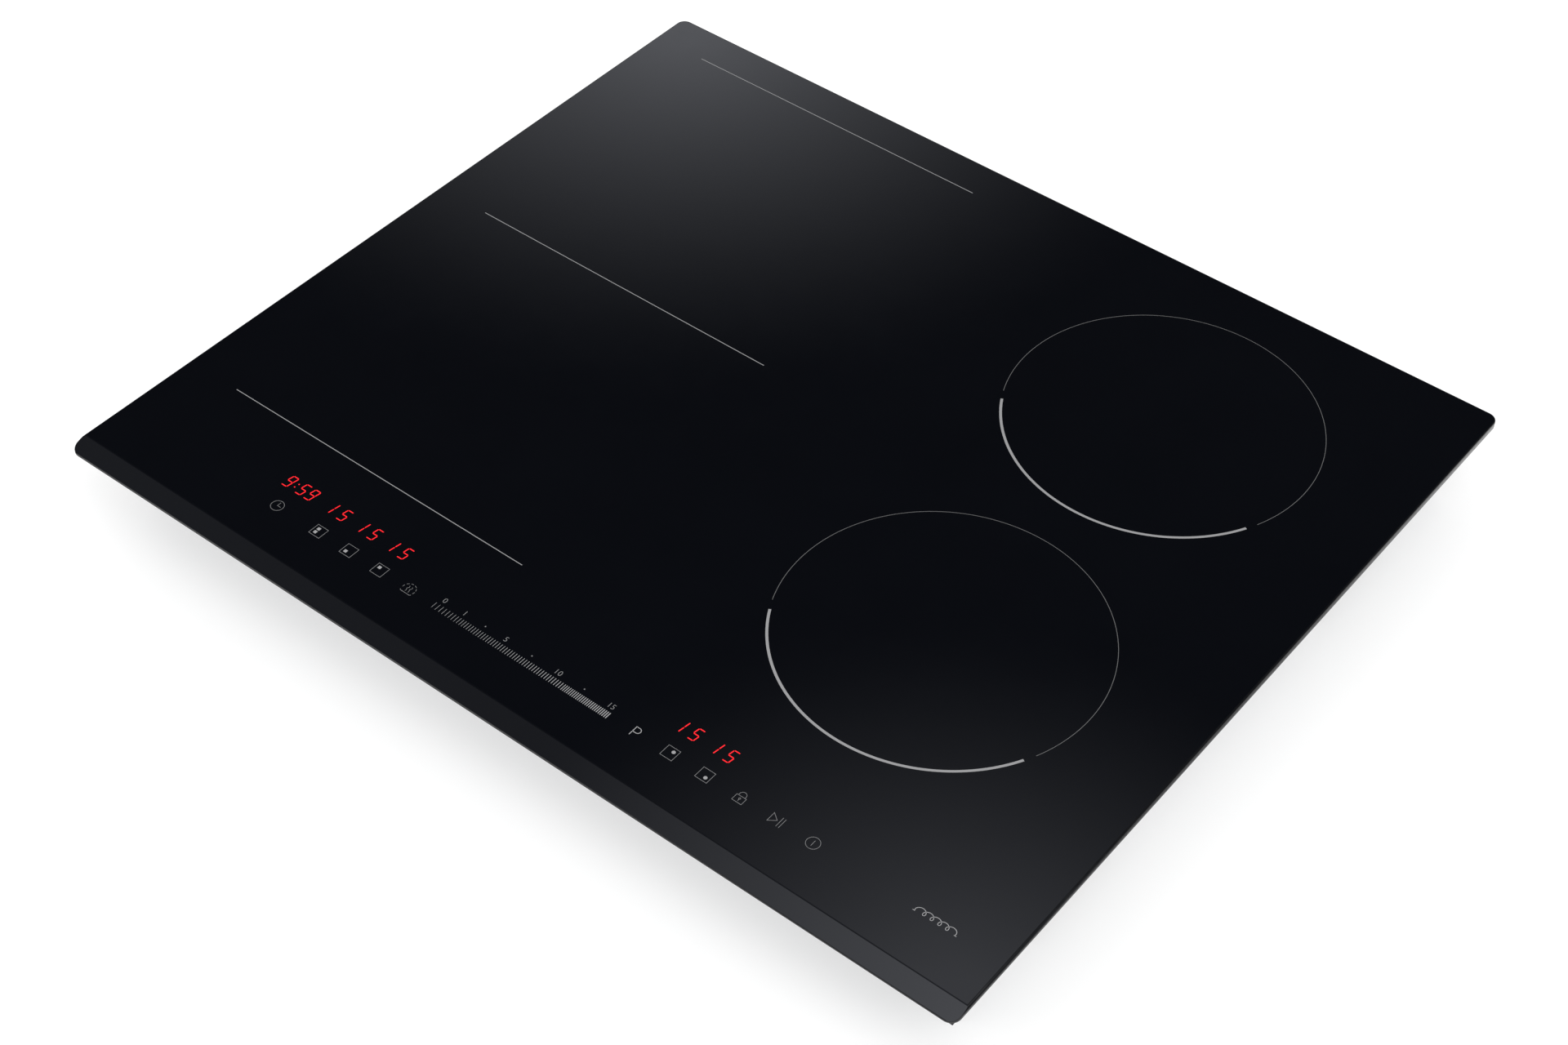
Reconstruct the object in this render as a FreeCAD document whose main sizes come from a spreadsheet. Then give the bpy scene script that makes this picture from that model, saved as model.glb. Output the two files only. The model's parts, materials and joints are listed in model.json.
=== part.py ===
import FreeCAD, Part
import math
import os
import re

import Sketcher

# Built-in induction hob. Millimetres. +X is the user's right, +Y the rear, +Z up.
# The origin is the centre of the plan at the underside of the case.

Vector = FreeCAD.Vector
Rotation = FreeCAD.Rotation
Placement = FreeCAD.Placement

DIMENSIONS = {
    # glass top
    "glass_width": 590, "glass_depth": 520, "glass_thick": 5, "total_height": 57,
    "glass_corner": 6, "bevel_run": 11, "bevel_drop": 3.8, "edge_break": 0.7,
    # rim between the glass and the case
    "seal_width": 12, "seal_thick": 2, "seal_margin": 2,
    "bond_thick": 0.5, "frame_thick": 1.5, "flange_width": 14, "skirt_drop": 10, "skirt_gap": 0.2,
    # sheet steel case
    "case_width": 552, "case_depth": 484, "case_top": 51.5, "sheet": 0.8, "case_corner": 1.5,
    "step_depth": 17, "step_height": 28,
    "vent_slot": 3.2, "vent_length": 11, "vent_pitch": 13,
    "inlet_inner": 12, "inlet_outer": 30,
    # worktop clamps and their recesses
    "recess_reach": 40, "recess_length": 70, "recess_height": 8, "recess_front": -165, "recess_rear": 110,
    "clamp_inset": 14, "clamp_offset": 12, "clamp_reach": 46, "clamp_width": 16, "clamp_thick": 2,
    "clamp_low": 3, "clamp_toe": 2, "clamp_toe_top": 7.4, "clamp_bolt": 2.5, "clamp_play": 0.1,
    # fasteners
    "screw_radius": 2, "screw_play": 0.05, "head_radius": 3.6, "head_height": 2,
    # coil decks
    "deck_low": 33, "deck_thick": 1.5, "deck_inner": 6, "deck_outer": 270, "deck_front": -180,
    "deck_rear": 200, "post_inner": 16, "post_outer": 265, "post_radius": 4,
    # cooking zones
    "zone_left": -152, "zone_right": 152, "left_rear": 131, "left_front": -68, "right_rear": 136,
    "right_front": -72,
    "carrier_low": 40.5, "carrier_floor": 2.5, "carrier_rim": 9, "rim_thick": 1.5, "round_radius": 88.5,
    "wide_half": 97, "deep_half": 92, "wide_corner": 34, "guide_radius": 3, "guide_length": 7.5,
    "guide_ring": 70, "guide_hole": 3.6, "air_radius": 11, "air_ring": 55,
    "ferrite_start": 34, "ferrite_length": 46, "ferrite_width": 13, "ferrite_height": 4,
    "winding_height": 4, "winding_start": 30, "winding_pitch": 3.6, "winding_band": 2.9,
    "winding_turns": 15, "wide_turns": 14, "wide_extra": 16, "deep_extra": 6,
    "mica_thick": 0.8, "mica_hole": 8, "sensor_radius": 6.5, "sensor_tip": 3,
    "spring_radius": 4.6, "spring_wire": 0.45, "spring_turns": 3,
    # power electronics
    "board_low": 10, "board_thick": 1.6, "board_inner": 26, "board_outer": 206, "board_front": -185,
    "board_rear": 105, "spacer_radius": 3.5,
    "sink_middle": 116, "sink_half": 24, "sink_base": 3.5, "sink_top": 28.6, "fin_thick": 1.4,
    "fin_pitch": 5.8, "sink_front": -150, "sink_rear": 76,
    "transistor_thick": 5, "transistor_length": 16, "transistor_height": 15, "transistor_lift": 1.4,
    "transistor_pitch": 38, "leg_pitch": 4, "leg_width": 1.2,
    "capacitor_length": 20, "capacitor_height": 16, "capacitor_pitch": 62, "filter_capacitor": 18,
    "choke_radius": 18.5, "choke_hole": 7.5, "choke_height": 11, "choke_pitch": 110,
    "lead_height": 24, "lead_radius": 1.1, "lead_pitch": 5, "supply_height": 25, "supply_radius": 1.2,
    "filter_left": 210, "filter_right": 258, "filter_front": -60, "filter_rear": 196,
    # fans
    "fan_x": 116, "fan_y": 162, "fan_half": 48, "fan_top": 30, "fan_wall": 2, "fan_chamber": 42,
    "axle_radius": 2, "axle_play": 0.05, "axle_low": 8, "motor_radius": 12,
    "rotor_radius": 36, "rotor_low": 6, "rotor_top": 25, "hub_radius": 14, "blade_count": 24,
    # mains terminals
    "box_left": 169, "box_right": 261, "box_front": 203, "box_low": 2, "box_high": 37, "box_wall": 2.4,
    "mouth_left": 197, "mouth_right": 255, "mouth_low": 6, "mouth_high": 32,
    "cable_x": 183, "cable_z": 18, "cable_radius": 8, "collar_radius": 10, "collar_inner": 231,
    "collar_outer": 244, "hinge_y": 243.6, "hinge_z": 34.6, "hinge_radius": 1.4, "pin_radius": 0.9,
    "hinge_play": 0.05, "cover_thick": 2, "cover_left": 194, "cover_right": 258, "cover_low": 4,
    # control panel
    "panel_left": -215, "panel_right": 215, "panel_front": -234, "panel_rear": -192, "panel_low": 44,
    "bracket_low": 40, "bracket_thick": 2, "key_line": -220.5, "key_radius": 3.2,
    "display_front": -212, "display_rear": -196, "display_top": 51.6,
}

doc = FreeCAD.newDocument("induction_hob")
spec = doc.addObject("Spreadsheet::Sheet", "spec")
for row, (alias, value) in enumerate(DIMENSIONS.items(), start=1):
    spec.set(f"A{row}", alias)
    spec.set(f"B{row}", str(value))
    spec.setAlias(f"B{row}", alias)
doc.recompute()

nodes = {}


def formula(text):
    """The text with each alias pointed at the sheet."""
    return re.sub(r"[a-z_]+", lambda word: "spec." + word.group(), str(text))


def number(text):
    """The value of a formula, in millimetres."""
    return float(spec.evalExpression(formula(text)))


def bind(target, path, text):
    target.setExpression(path, formula(text))


def place(target, x, y, z):
    for letter, text in zip("xyz", (x, y, z)):
        bind(target, f".Placement.Base.{letter}", text)


def node(label, target):
    """Marks an object as a sub-part of the hob."""
    target.Label = label
    nodes[label] = target
    return target


# ---- Part primitives and booleans ----


def box(x_low, y_low, z_low, x_high, y_high, z_high):
    made = doc.addObject("Part::Box", "block")
    bind(made, "Length", f"({x_high})-({x_low})")
    bind(made, "Width", f"({y_high})-({y_low})")
    bind(made, "Height", f"({z_high})-({z_low})")
    place(made, x_low, y_low, z_low)
    return made


def cylinder(x, y, z, radius, length, axis="Z"):
    made = doc.addObject("Part::Cylinder", "round")
    bind(made, "Radius", radius)
    bind(made, "Height", length)
    turns = {"Z": Rotation(), "X": Rotation(Vector(0, 1, 0), 90), "Y": Rotation(Vector(1, 0, 0), -90)}
    made.Placement = Placement(Vector(), turns[axis])
    place(made, x, y, z)
    return made


def fuse(*shapes):
    made = doc.addObject("Part::MultiFuse", "joined")
    made.Shapes = list(shapes)
    made.Refine = True
    return made


def cut(base, *tools):
    made = doc.addObject("Part::Cut", "trimmed")
    made.Base = base
    made.Tool = tools[0] if len(tools) == 1 else fuse(*tools)
    made.Refine = True
    return made


def group(shapes):
    """Separate solids that share one node."""
    made = doc.addObject("Part::Compound", "group")
    made.Links = list(shapes)
    return made


# ---- PartDesign bodies ----


def new_body(label):
    return node(label, doc.addObject("PartDesign::Body", label))


def new_sketch(body, role="XY_Plane", offset=("0", "0", "0")):
    sketch = body.newObject("Sketcher::SketchObject", "sketch")
    plane = next(item for item in body.Origin.OriginFeatures if item.Role == role)
    sketch.AttachmentSupport = [(plane, "")]
    sketch.MapMode = "FlatFace"
    for letter, text in zip("xyz", offset):
        bind(sketch, f".AttachmentOffset.Base.{letter}", text)
    return sketch


def pin_point(sketch, index, point, u, v):
    """Holds one point of the sketch at a distance from its origin."""
    for kind, text in (("DistanceX", u), ("DistanceY", v)):
        made = sketch.addConstraint(Sketcher.Constraint(kind, -1, 1, index, point, number(text)))
        bind(sketch, f"Constraints[{made}]", text)


def draw_polygon(sketch, points):
    first = sketch.GeometryCount
    count = len(points)
    places = [Vector(number(u), number(v), 0) for u, v in points]
    for step in range(count):
        sketch.addGeometry(Part.LineSegment(places[step], places[(step + 1) % count]), False)
    for step in range(count):
        after = first + (step + 1) % count
        sketch.addConstraint(Sketcher.Constraint("Coincident", first + step, 2, after, 1))
    for step, (u, v) in enumerate(points):
        pin_point(sketch, first + step, 1, u, v)


def draw_rectangle(sketch, u_low, v_low, u_high, v_high):
    draw_polygon(sketch, [(u_low, v_low), (u_high, v_low), (u_high, v_high), (u_low, v_high)])


def draw_circle(sketch, u, v, radius):
    centre = Vector(number(u), number(v), 0)
    index = sketch.addGeometry(Part.Circle(centre, Vector(0, 0, 1), number(radius)), False)
    pin_point(sketch, index, 3, u, v)
    made = sketch.addConstraint(Sketcher.Constraint("Radius", index, number(radius)))
    bind(sketch, f"Constraints[{made}]", radius)


def draw_rounded_rectangle(sketch, half_u, half_v, radius):
    """A rectangle about the sketch's origin with its corners rounded by arcs."""
    wide, deep, bend = number(half_u), number(half_v), number(radius)
    first = sketch.GeometryCount
    for step, (side_u, side_v) in enumerate(((1, -1), (1, 1), (-1, 1), (-1, -1))):
        centre = Vector(side_u * (wide - bend), side_v * (deep - bend), 0)
        start = math.radians(90 * step - 90)
        circle = Part.Circle(centre, Vector(0, 0, 1), bend)
        sketch.addGeometry(Part.ArcOfCircle(circle, start, start + math.pi / 2), False)
        begin = centre + Vector(math.cos(start), math.sin(start), 0) * bend
        run = 2 * (deep if step % 2 else wide) - 2 * bend
        previous = Vector(math.sin(start), -math.cos(start), 0) * run
        sketch.addGeometry(Part.LineSegment(begin + previous, begin), False)
        pin_point(sketch, first + 2 * step, 3, f"{side_u}*(({half_u}) - ({radius}))",
                  f"{side_v}*(({half_v}) - ({radius}))")
        made = sketch.addConstraint(Sketcher.Constraint("Radius", first + 2 * step, bend))
        bind(sketch, f"Constraints[{made}]", radius)
    for step in range(4):
        arc, line = first + 2 * step, first + 2 * step + 1
        after = first + (2 * step + 3) % 8
        sketch.addConstraint(Sketcher.Constraint("Tangent", line, 2, arc, 1))
        sketch.addConstraint(Sketcher.Constraint("Tangent", arc, 2, after, 1))


def pad(body, sketch, length, middle=False):
    made = body.newObject("PartDesign::Pad", "pad")
    made.Profile = sketch
    made.Midplane = middle
    bind(made, "Length", length)
    return made


def pocket(body, sketch, length, middle=False, upward=True):
    """Cuts the sketch out of the body, upward from the sketch's plane unless told otherwise."""
    made = body.newObject("PartDesign::Pocket", "pocket")
    made.Profile = sketch
    made.Midplane = middle
    made.Reversed = upward and not middle
    bind(made, "Length", length)
    return made


def polar(body, feature, sketch, count):
    made = body.newObject("PartDesign::PolarPattern", "around")
    made.Originals = [feature]
    made.Axis = (sketch, ["N_Axis"])
    made.Angle = 360
    bind(made, "Occurrences", count)
    body.Tip = made
    return made


def linear(body, feature, sketch, length, count):
    made = body.newObject("PartDesign::LinearPattern", "along")
    made.Originals = [feature]
    made.Direction = (sketch, ["H_Axis"])
    bind(made, "Length", length)
    bind(made, "Occurrences", count)
    body.Tip = made
    return made


def round_uprights(body, feature, radius, wanted=lambda spot: True):
    """Rounds the upright edges whose middles are wanted."""
    doc.recompute()
    names = []
    for index, edge in enumerate(feature.Shape.Edges, start=1):
        along = edge.tangentAt(edge.FirstParameter)
        if abs(along.z) > 0.99 and edge.Length > 0.5 and wanted(edge.CenterOfMass):
            names.append(f"Edge{index}")
    made = body.newObject("PartDesign::Fillet", "rounded")
    made.Base = (feature, names)
    bind(made, "Radius", radius)
    doc.recompute()
    return made


# ---- glass and rim ----


def glass_panel():
    body = new_body("ceramic_glass_panel")
    under = "total_height - glass_thick"
    outline = new_sketch(body, offset=("0", "0", under))
    draw_rectangle(outline, "-glass_width/2", "-glass_depth/2", "glass_width/2", "glass_depth/2")
    slab = round_uprights(body, pad(body, outline, "glass_thick"), "glass_corner")
    front = new_sketch(body, "YZ_Plane")
    draw_polygon(front, [
        ("-glass_depth/2 + bevel_run", "total_height"),
        ("-glass_depth/2 - 1", "total_height"),
        ("-glass_depth/2 - 1", "total_height - bevel_drop*(bevel_run + 1)/bevel_run"),
    ])
    pocket(body, front, "glass_width + 2", middle=True)
    doc.recompute()
    bevelled = body.Tip
    names = []
    for index, edge in enumerate(bevelled.Shape.Edges, start=1):
        spot = edge.CenterOfMass
        level = abs(spot.z - number("total_height")) < 1e-6 and edge.BoundBox.ZLength < 1e-6
        if level and spot.y > number("-glass_depth/2 + bevel_run") + 1e-6:
            names.append(f"Edge{index}")
    soft = body.newObject("PartDesign::Chamfer", "edge_break")
    soft.Base = (bevelled, names)
    bind(soft, "Size", "edge_break*0.6")
    assert slab.Shape.Volume > bevelled.Shape.Volume


def ring(label, low, thick, outer_x, outer_y, band):
    body = new_body(label)
    sketch = new_sketch(body, offset=("0", "0", low))
    draw_rectangle(sketch, f"-({outer_x})", f"-({outer_y})", outer_x, outer_y)
    draw_rectangle(sketch, f"-({outer_x})+{band}", f"-({outer_y})+{band}", f"({outer_x})-{band}",
                   f"({outer_y})-{band}")
    pad(body, sketch, thick)
    return body


INNER_X = "case_width/2 - sheet"
INNER_Y = "case_depth/2 - sheet"
SIDE_SCREWS = (-110, 60)
END_SCREWS = (-190, 0, 190)
SCREW_Z = "total_height - glass_thick - bond_thick - frame_thick - skirt_drop/2"


def rim():
    under = "total_height - glass_thick"
    ring("worktop_seal", f"{under} - seal_thick", "seal_thick", "glass_width/2 - seal_margin",
         "glass_depth/2 - seal_margin", "seal_width")
    ring("silicone_bond", f"{under} - bond_thick", "bond_thick", f"{INNER_X} - 1", f"{INNER_Y} - 1", "10")
    flange_low = f"{under} - bond_thick - frame_thick"
    edge_x, edge_y = f"{INNER_X} - skirt_gap", f"{INNER_Y} - skirt_gap"
    frame = ring("glass_frame", flange_low, "frame_thick", edge_x, edge_y, "flange_width")
    skirt = new_sketch(frame, offset=("0", "0", f"{flange_low} - skirt_drop"))
    draw_rectangle(skirt, f"-({edge_x})", f"-({edge_y})", edge_x, edge_y)
    draw_rectangle(skirt, f"-({edge_x}) + frame_thick", f"-({edge_y}) + frame_thick",
                   f"({edge_x}) - frame_thick", f"({edge_y}) - frame_thick")
    pad(frame, skirt, "skirt_drop")
    through_holes(frame, "screw_radius + screw_play")


def through_holes(body, radius):
    """Screw holes through all four upright walls of a body."""
    ends = new_sketch(body, "XZ_Plane")
    for x in END_SCREWS:
        draw_circle(ends, x, SCREW_Z, radius)
    pocket(body, ends, "case_depth + 10", middle=True)
    sides = new_sketch(body, "YZ_Plane")
    for y in SIDE_SCREWS:
        draw_circle(sides, y, SCREW_Z, radius)
    pocket(body, sides, "case_width + 10", middle=True)


# ---- sheet steel case ----

RECESSES = ("recess_front", "recess_rear")
FANS = {"left": "-fan_x", "right": "fan_x"}
POST_ROWS = ("deck_front + 8", "24", "deck_rear - 8")
POST_COLUMNS = ("-post_outer", "-post_inner", "post_inner", "post_outer")


def case_profile(inset, top):
    """Outline of the case seen from its right side, moved inward by the inset."""
    front, rear = f"-case_depth/2 + {inset}", f"case_depth/2 - {inset}"
    step = f"-case_depth/2 + step_depth + {inset}"
    return [(front, f"step_height + {inset}"), (step, f"step_height + {inset}"), (step, inset), (rear, inset),
            (rear, top), (front, top)]


def recess_boxes(sketch, grow, outer):
    """The four clamp recesses in plan, larger all round by the growth."""
    inner = f"case_width/2 - recess_reach - {grow}"
    for start in RECESSES:
        ends = (f"{start} - {grow}", f"{start} + recess_length + {grow}")
        draw_rectangle(sketch, inner, ends[0], outer, ends[1])
        draw_rectangle(sketch, f"-({outer})", ends[0], f"-({inner})", ends[1])


def bottom_case():
    body = new_body("bottom_case")
    outside = new_sketch(body, "YZ_Plane")
    draw_polygon(outside, case_profile("0", "case_top"))
    block = pad(body, outside, "case_width", middle=True)
    half = number("case_depth/2") - 1
    solid = round_uprights(body, block, "case_corner", lambda spot: abs(spot.y) > half)
    inside = new_sketch(body, "YZ_Plane")
    draw_polygon(inside, case_profile("sheet", "case_top + 1"))
    hollow = pocket(body, inside, "case_width - 2*sheet", middle=True)
    doc.recompute()
    assert hollow.Shape.Volume < solid.Shape.Volume / 10
    housings = new_sketch(body)
    recess_boxes(housings, "sheet", "case_width/2 - sheet/2")
    pad(body, housings, "recess_height + sheet")
    recesses = new_sketch(body)
    recess_boxes(recesses, "0", "case_width/2 + 5")
    pocket(body, recesses, "recess_height")
    through_holes(body, "screw_radius + screw_play")
    openings = new_sketch(body, "XZ_Plane")
    draw_rectangle(openings, "box_left - 0.2", "box_low - 0.2", "box_right + 0.2", "box_high + 0.2")
    pocket(body, openings, "case_depth", upward=False)
    bolt_holes = new_sketch(body)
    for x in ("case_width/2 - clamp_inset", "-case_width/2 + clamp_inset"):
        for start in RECESSES:
            draw_circle(bolt_holes, x, f"{start} + clamp_offset", "clamp_bolt + screw_play")
    for x in POST_COLUMNS:
        for y in POST_ROWS:
            draw_circle(bolt_holes, x, y, "screw_radius + screw_play")
    pocket(body, bolt_holes, "recess_height + 2*sheet")
    outlet = new_sketch(body, offset=("-case_width/2 + 24", "-case_depth/2 + 3", "step_height - 1"))
    draw_rectangle(outlet, "0", "0", "vent_slot", "vent_length")
    slot = pocket(body, outlet, "sheet + 2")
    linear(body, slot, outlet, "vent_pitch*38", "39")
    for x in FANS.values():
        inlet = new_sketch(body, offset=(x, "fan_y", "0"))
        draw_rectangle(inlet, "inlet_inner + 2", "-vent_slot/2", "inlet_outer", "vent_slot/2")
        slot = pocket(body, inlet, "2*sheet")
        polar(body, slot, inlet, "16")


def screw(x, y, z, way, length="6"):
    """A pan head screw at the point where its head meets the sheet; way is the side the head is on."""
    axis = way[1]
    sign = 1 if way[0] == "+" else -1
    spot = {"X": x, "Y": y, "Z": z}

    def moved(amount):
        return [f"{spot[key]} + ({amount})" if key == axis else spot[key] for key in "XYZ"]

    if sign > 0:
        return fuse(cylinder(*moved("0"), "head_radius", "head_height", axis),
                    cylinder(*moved(f"-{length}"), "screw_radius", length, axis))
    return fuse(cylinder(*moved("-head_height"), "head_radius", "head_height", axis),
                cylinder(*moved("0"), "screw_radius", length, axis))


def panel_screws():
    """The screws through the case walls into the frame, and those through the decks into their posts."""
    made = []
    for x in END_SCREWS:
        made.append(screw(x, "case_depth/2", SCREW_Z, "+Y"))
        made.append(screw(x, "-case_depth/2", SCREW_Z, "-Y"))
    for y in SIDE_SCREWS:
        made.append(screw("case_width/2", y, SCREW_Z, "+X"))
        made.append(screw("-case_width/2", y, SCREW_Z, "-X"))
    for x in POST_COLUMNS:
        for y in POST_ROWS:
            made.append(screw(x, y, "deck_low + deck_thick", "+Z", "12"))
    node("panel_screws", group(made))


# ---- coil decks ----

ZONES = {
    "rear_left": ("zone_left", "left_rear", "wide"),
    "front_left": ("zone_left", "left_front", "wide"),
    "rear_right": ("zone_right", "right_rear", "round"),
    "front_right": ("zone_right", "right_front", "round"),
}
GUIDE_ANGLES = (45, 135, 225, 315)


def coil_deck(side):
    body = new_body(f"coil_deck_{side}")
    sign = 1 if side == "right" else -1
    sketch = new_sketch(body, offset=("0", "0", "deck_low"))
    near, far = ("deck_inner", "deck_outer") if sign > 0 else ("-deck_outer", "-deck_inner")
    draw_rectangle(sketch, near, "deck_front", far, "deck_rear")
    plate = round_uprights(body, pad(body, sketch, "deck_thick"), "5")
    holes = new_sketch(body, offset=("0", "0", "deck_low - 1"))
    for x, y, _ in ZONES.values():
        if x == f"zone_{side}":
            for angle in GUIDE_ANGLES:
                across = math.cos(math.radians(angle))
                along = math.sin(math.radians(angle))
                draw_circle(holes, f"{x} + guide_ring*{across:.6f}", f"{y} + guide_ring*{along:.6f}",
                            "guide_hole")
            draw_circle(holes, x, y, "14")
    for x in ("post_inner", "post_outer"):
        for y in POST_ROWS:
            draw_circle(holes, f"{sign}*{x}", y, "screw_radius + screw_play")
    pocket(body, holes, "deck_thick + 2")
    doc.recompute()
    assert body.Shape.Volume < plate.Shape.Volume


def deck_posts():
    posts = []
    for x in POST_COLUMNS:
        for y in POST_ROWS:
            tube = cylinder(x, y, "sheet", "post_radius", "deck_low - sheet")
            posts.append(cut(tube, cylinder(x, y, "0", "screw_radius + screw_play", "deck_low + 1")))
    node("deck_posts", group(posts))


# ---- cooking zones ----


def draw_zone_outline(sketch, shape, inset="0"):
    """Circle or rounded rectangle that bounds a zone's carrier."""
    if shape == "round":
        draw_circle(sketch, "0", "0", f"round_radius - {inset}")
    else:
        draw_rounded_rectangle(sketch, f"wide_half - {inset}", f"deep_half - {inset}",
                               f"wide_corner - {inset}")


def coil_carrier(zone, x, y, shape):
    body = new_body(f"coil_carrier_{zone}")
    outline = new_sketch(body)
    draw_zone_outline(outline, shape)
    pad(body, outline, "carrier_rim")
    inner = new_sketch(body, offset=("0", "0", "carrier_floor"))
    draw_zone_outline(inner, shape, "rim_thick")
    pocket(body, inner, "carrier_rim")
    ring_sketch = new_sketch(body, offset=("0", "0", "-1"))
    draw_circle(ring_sketch, "air_ring", "0", "air_radius")
    hole = pocket(body, ring_sketch, "carrier_floor + 2")
    polar(body, hole, ring_sketch, "8")
    guides = new_sketch(body, offset=("0", "0", "-guide_length"))
    for angle in GUIDE_ANGLES:
        across = math.cos(math.radians(angle))
        along = math.sin(math.radians(angle))
        draw_circle(guides, f"guide_ring*{across:.6f}", f"guide_ring*{along:.6f}", "guide_radius")
    pad(body, guides, "guide_length + carrier_floor")
    place(body, x, y, "carrier_low")


def ferrites(zone, x, y):
    bars = []
    for step in range(8):
        angle = 22.5 + 45 * step
        bar = doc.addObject("Part::Box", "bar")
        bind(bar, "Length", "ferrite_length")
        bind(bar, "Width", "ferrite_width")
        bind(bar, "Height", "ferrite_height")
        bar.Placement = Placement(Vector(), Rotation(Vector(0, 0, 1), angle))
        across = math.cos(math.radians(angle))
        along = math.sin(math.radians(angle))
        place(bar, f"{x} + ferrite_start*{across:.6f} + ferrite_width/2*{along:.6f}",
              f"{y} + ferrite_start*{along:.6f} - ferrite_width/2*{across:.6f}",
              "carrier_low + carrier_floor")
        bars.append(bar)
    node(f"ferrite_bars_{zone}", group(bars))


def spiral_edges(start, pitch, turns, extra_x, extra_y):
    """A flat spiral of quarter turns, each a quarter pitch wider, with straight runs between them."""
    edges = []
    spot = Vector(extra_x, 0, 0) + Vector(start, 0, 0)
    heading = 90.0
    radius = start
    for step in range(4 * turns):
        run = extra_y if step % 2 == 0 else extra_x
        ahead = Vector(math.cos(math.radians(heading)), math.sin(math.radians(heading)), 0)
        left = Vector(-ahead.y, ahead.x, 0)
        if run > 0:
            edges.append(Part.LineSegment(spot, spot + ahead * run).toShape())
            spot = spot + ahead * run
        centre = spot + left * radius
        middle = centre + (ahead - left) * (radius / math.sqrt(2))
        end = centre + ahead * radius
        edges.append(Part.Arc(spot, middle, end).toShape())
        spot = end
        heading += 90.0
        radius += pitch / 4
    return edges


def coil_winding(zone, x, y, shape):
    wide = shape == "wide"
    pitch, band = number("winding_pitch"), number("winding_band")
    start, turns = number("winding_start"), int(number("wide_turns" if wide else "winding_turns"))
    extra_x = number("wide_extra") if wide else 0.0
    extra_y = number("deep_extra") if wide else 0.0
    inner = spiral_edges(start, pitch, turns, extra_x, extra_y)
    outer = spiral_edges(start + band, pitch, turns, extra_x, extra_y)
    first = Part.LineSegment(inner[0].Vertexes[0].Point, outer[0].Vertexes[0].Point).toShape()
    last = Part.LineSegment(inner[-1].Vertexes[-1].Point, outer[-1].Vertexes[-1].Point).toShape()
    wire = Part.Wire(Part.__sortEdges__([first] + outer + [last] + inner))
    strip = Part.Face(wire).extrude(Vector(0, 0, number("winding_height")))
    box_of_strip = strip.BoundBox
    middle = Vector(box_of_strip.Center.x, box_of_strip.Center.y, 0)
    made = doc.addObject("Part::Feature", f"coil_winding_{zone}")
    made.Shape = strip
    low = number("carrier_low + carrier_floor + ferrite_height")
    made.Placement = Placement(Vector(number(x), number(y), low) - middle, Rotation())
    node(f"coil_winding_{zone}", made)


def mica_sheet(zone, x, y, shape):
    body = new_body(f"insulation_sheet_{zone}")
    outline = new_sketch(body)
    draw_zone_outline(outline, shape, "0.5")
    pad(body, outline, "mica_thick")
    hole = new_sketch(body, offset=("0", "0", "-1"))
    draw_circle(hole, "0", "0", "mica_hole")
    pocket(body, hole, "mica_thick + 2")
    place(body, x, y, "carrier_low + carrier_floor + ferrite_height + winding_height")


def temperature_sensor(zone, x, y):
    low = "carrier_low + carrier_floor"
    holder = cylinder(x, y, low, "sensor_radius", "ferrite_height + winding_height - 1")
    tip = cylinder(x, y, low, "sensor_tip", "ferrite_height + winding_height + mica_thick")
    node(f"temperature_sensor_{zone}", fuse(holder, tip))


def wire_section(spot, ahead, radius):
    """An eight-sided face square to the wire."""
    across = Vector(0, 0, 1).cross(ahead)
    if across.Length < 0.1:
        across = Vector(1, 0, 0)
    across.normalize()
    upward = ahead.cross(across)
    corners = []
    for step in range(9):
        angle = math.radians(22.5 + 45 * step)
        corners.append(spot + across * (radius * math.cos(angle)) + upward * (radius * math.sin(angle)))
    return Part.Face(Part.makePolygon(corners))


def round_bar(edges, radius):
    """One solid of eight-sided section along straight and circular edges that meet smoothly."""
    pieces = []
    for edge in edges:
        start = edge.valueAt(edge.FirstParameter)
        ahead = edge.tangentAt(edge.FirstParameter)
        disc = wire_section(start, ahead, radius)
        if edge.Curve.TypeId == "Part::GeomCircle":
            turn = math.degrees(edge.LastParameter - edge.FirstParameter)
            pieces.append(disc.revolve(edge.Curve.Center, edge.Curve.Axis, turn))
        else:
            pieces.append(disc.extrude(ahead * edge.Length))
    return pieces[0].multiFuse(pieces[1:]).Solids[0]


def wound_wire(radius, wire, pitch, turns):
    """A helical spring whose half turns are arcs, each tilted so that it climbs half a pitch."""
    edges = []
    half_chord = math.hypot(radius, pitch / 4)
    for step in range(2 * turns):
        side = 1 if step % 2 == 0 else -1
        low = wire + step * pitch / 2
        edges.append(Part.Arc(Vector(side * radius, 0, low), Vector(0, side * half_chord, low + pitch / 4),
                              Vector(-side * radius, 0, low + pitch / 2)).toShape())
    return round_bar(edges, wire)


def coil_springs(zone, x, y):
    """Compression springs round the carrier's guide pins, standing on the deck."""
    wire, turns = number("spring_wire"), int(number("spring_turns"))
    low, high = number("deck_low + deck_thick"), number("carrier_low")
    spring = wound_wire(number("spring_radius"), wire, (high - low - 2 * wire) / turns, turns)
    made = []
    for angle in GUIDE_ANGLES:
        around = Vector(math.cos(math.radians(angle)), math.sin(math.radians(angle)), 0)
        stand = doc.addObject("Part::Feature", "spring")
        stand.Shape = spring
        spot = Vector(number(x), number(y), low) + around * number("guide_ring")
        stand.Placement = Placement(spot, Rotation())
        made.append(stand)
    node(f"coil_springs_{zone}", group(made))


# ---- power electronics ----

BOARD_TOP = "board_low + board_thick"
SIDES = {"left": -1, "right": 1}


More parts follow.
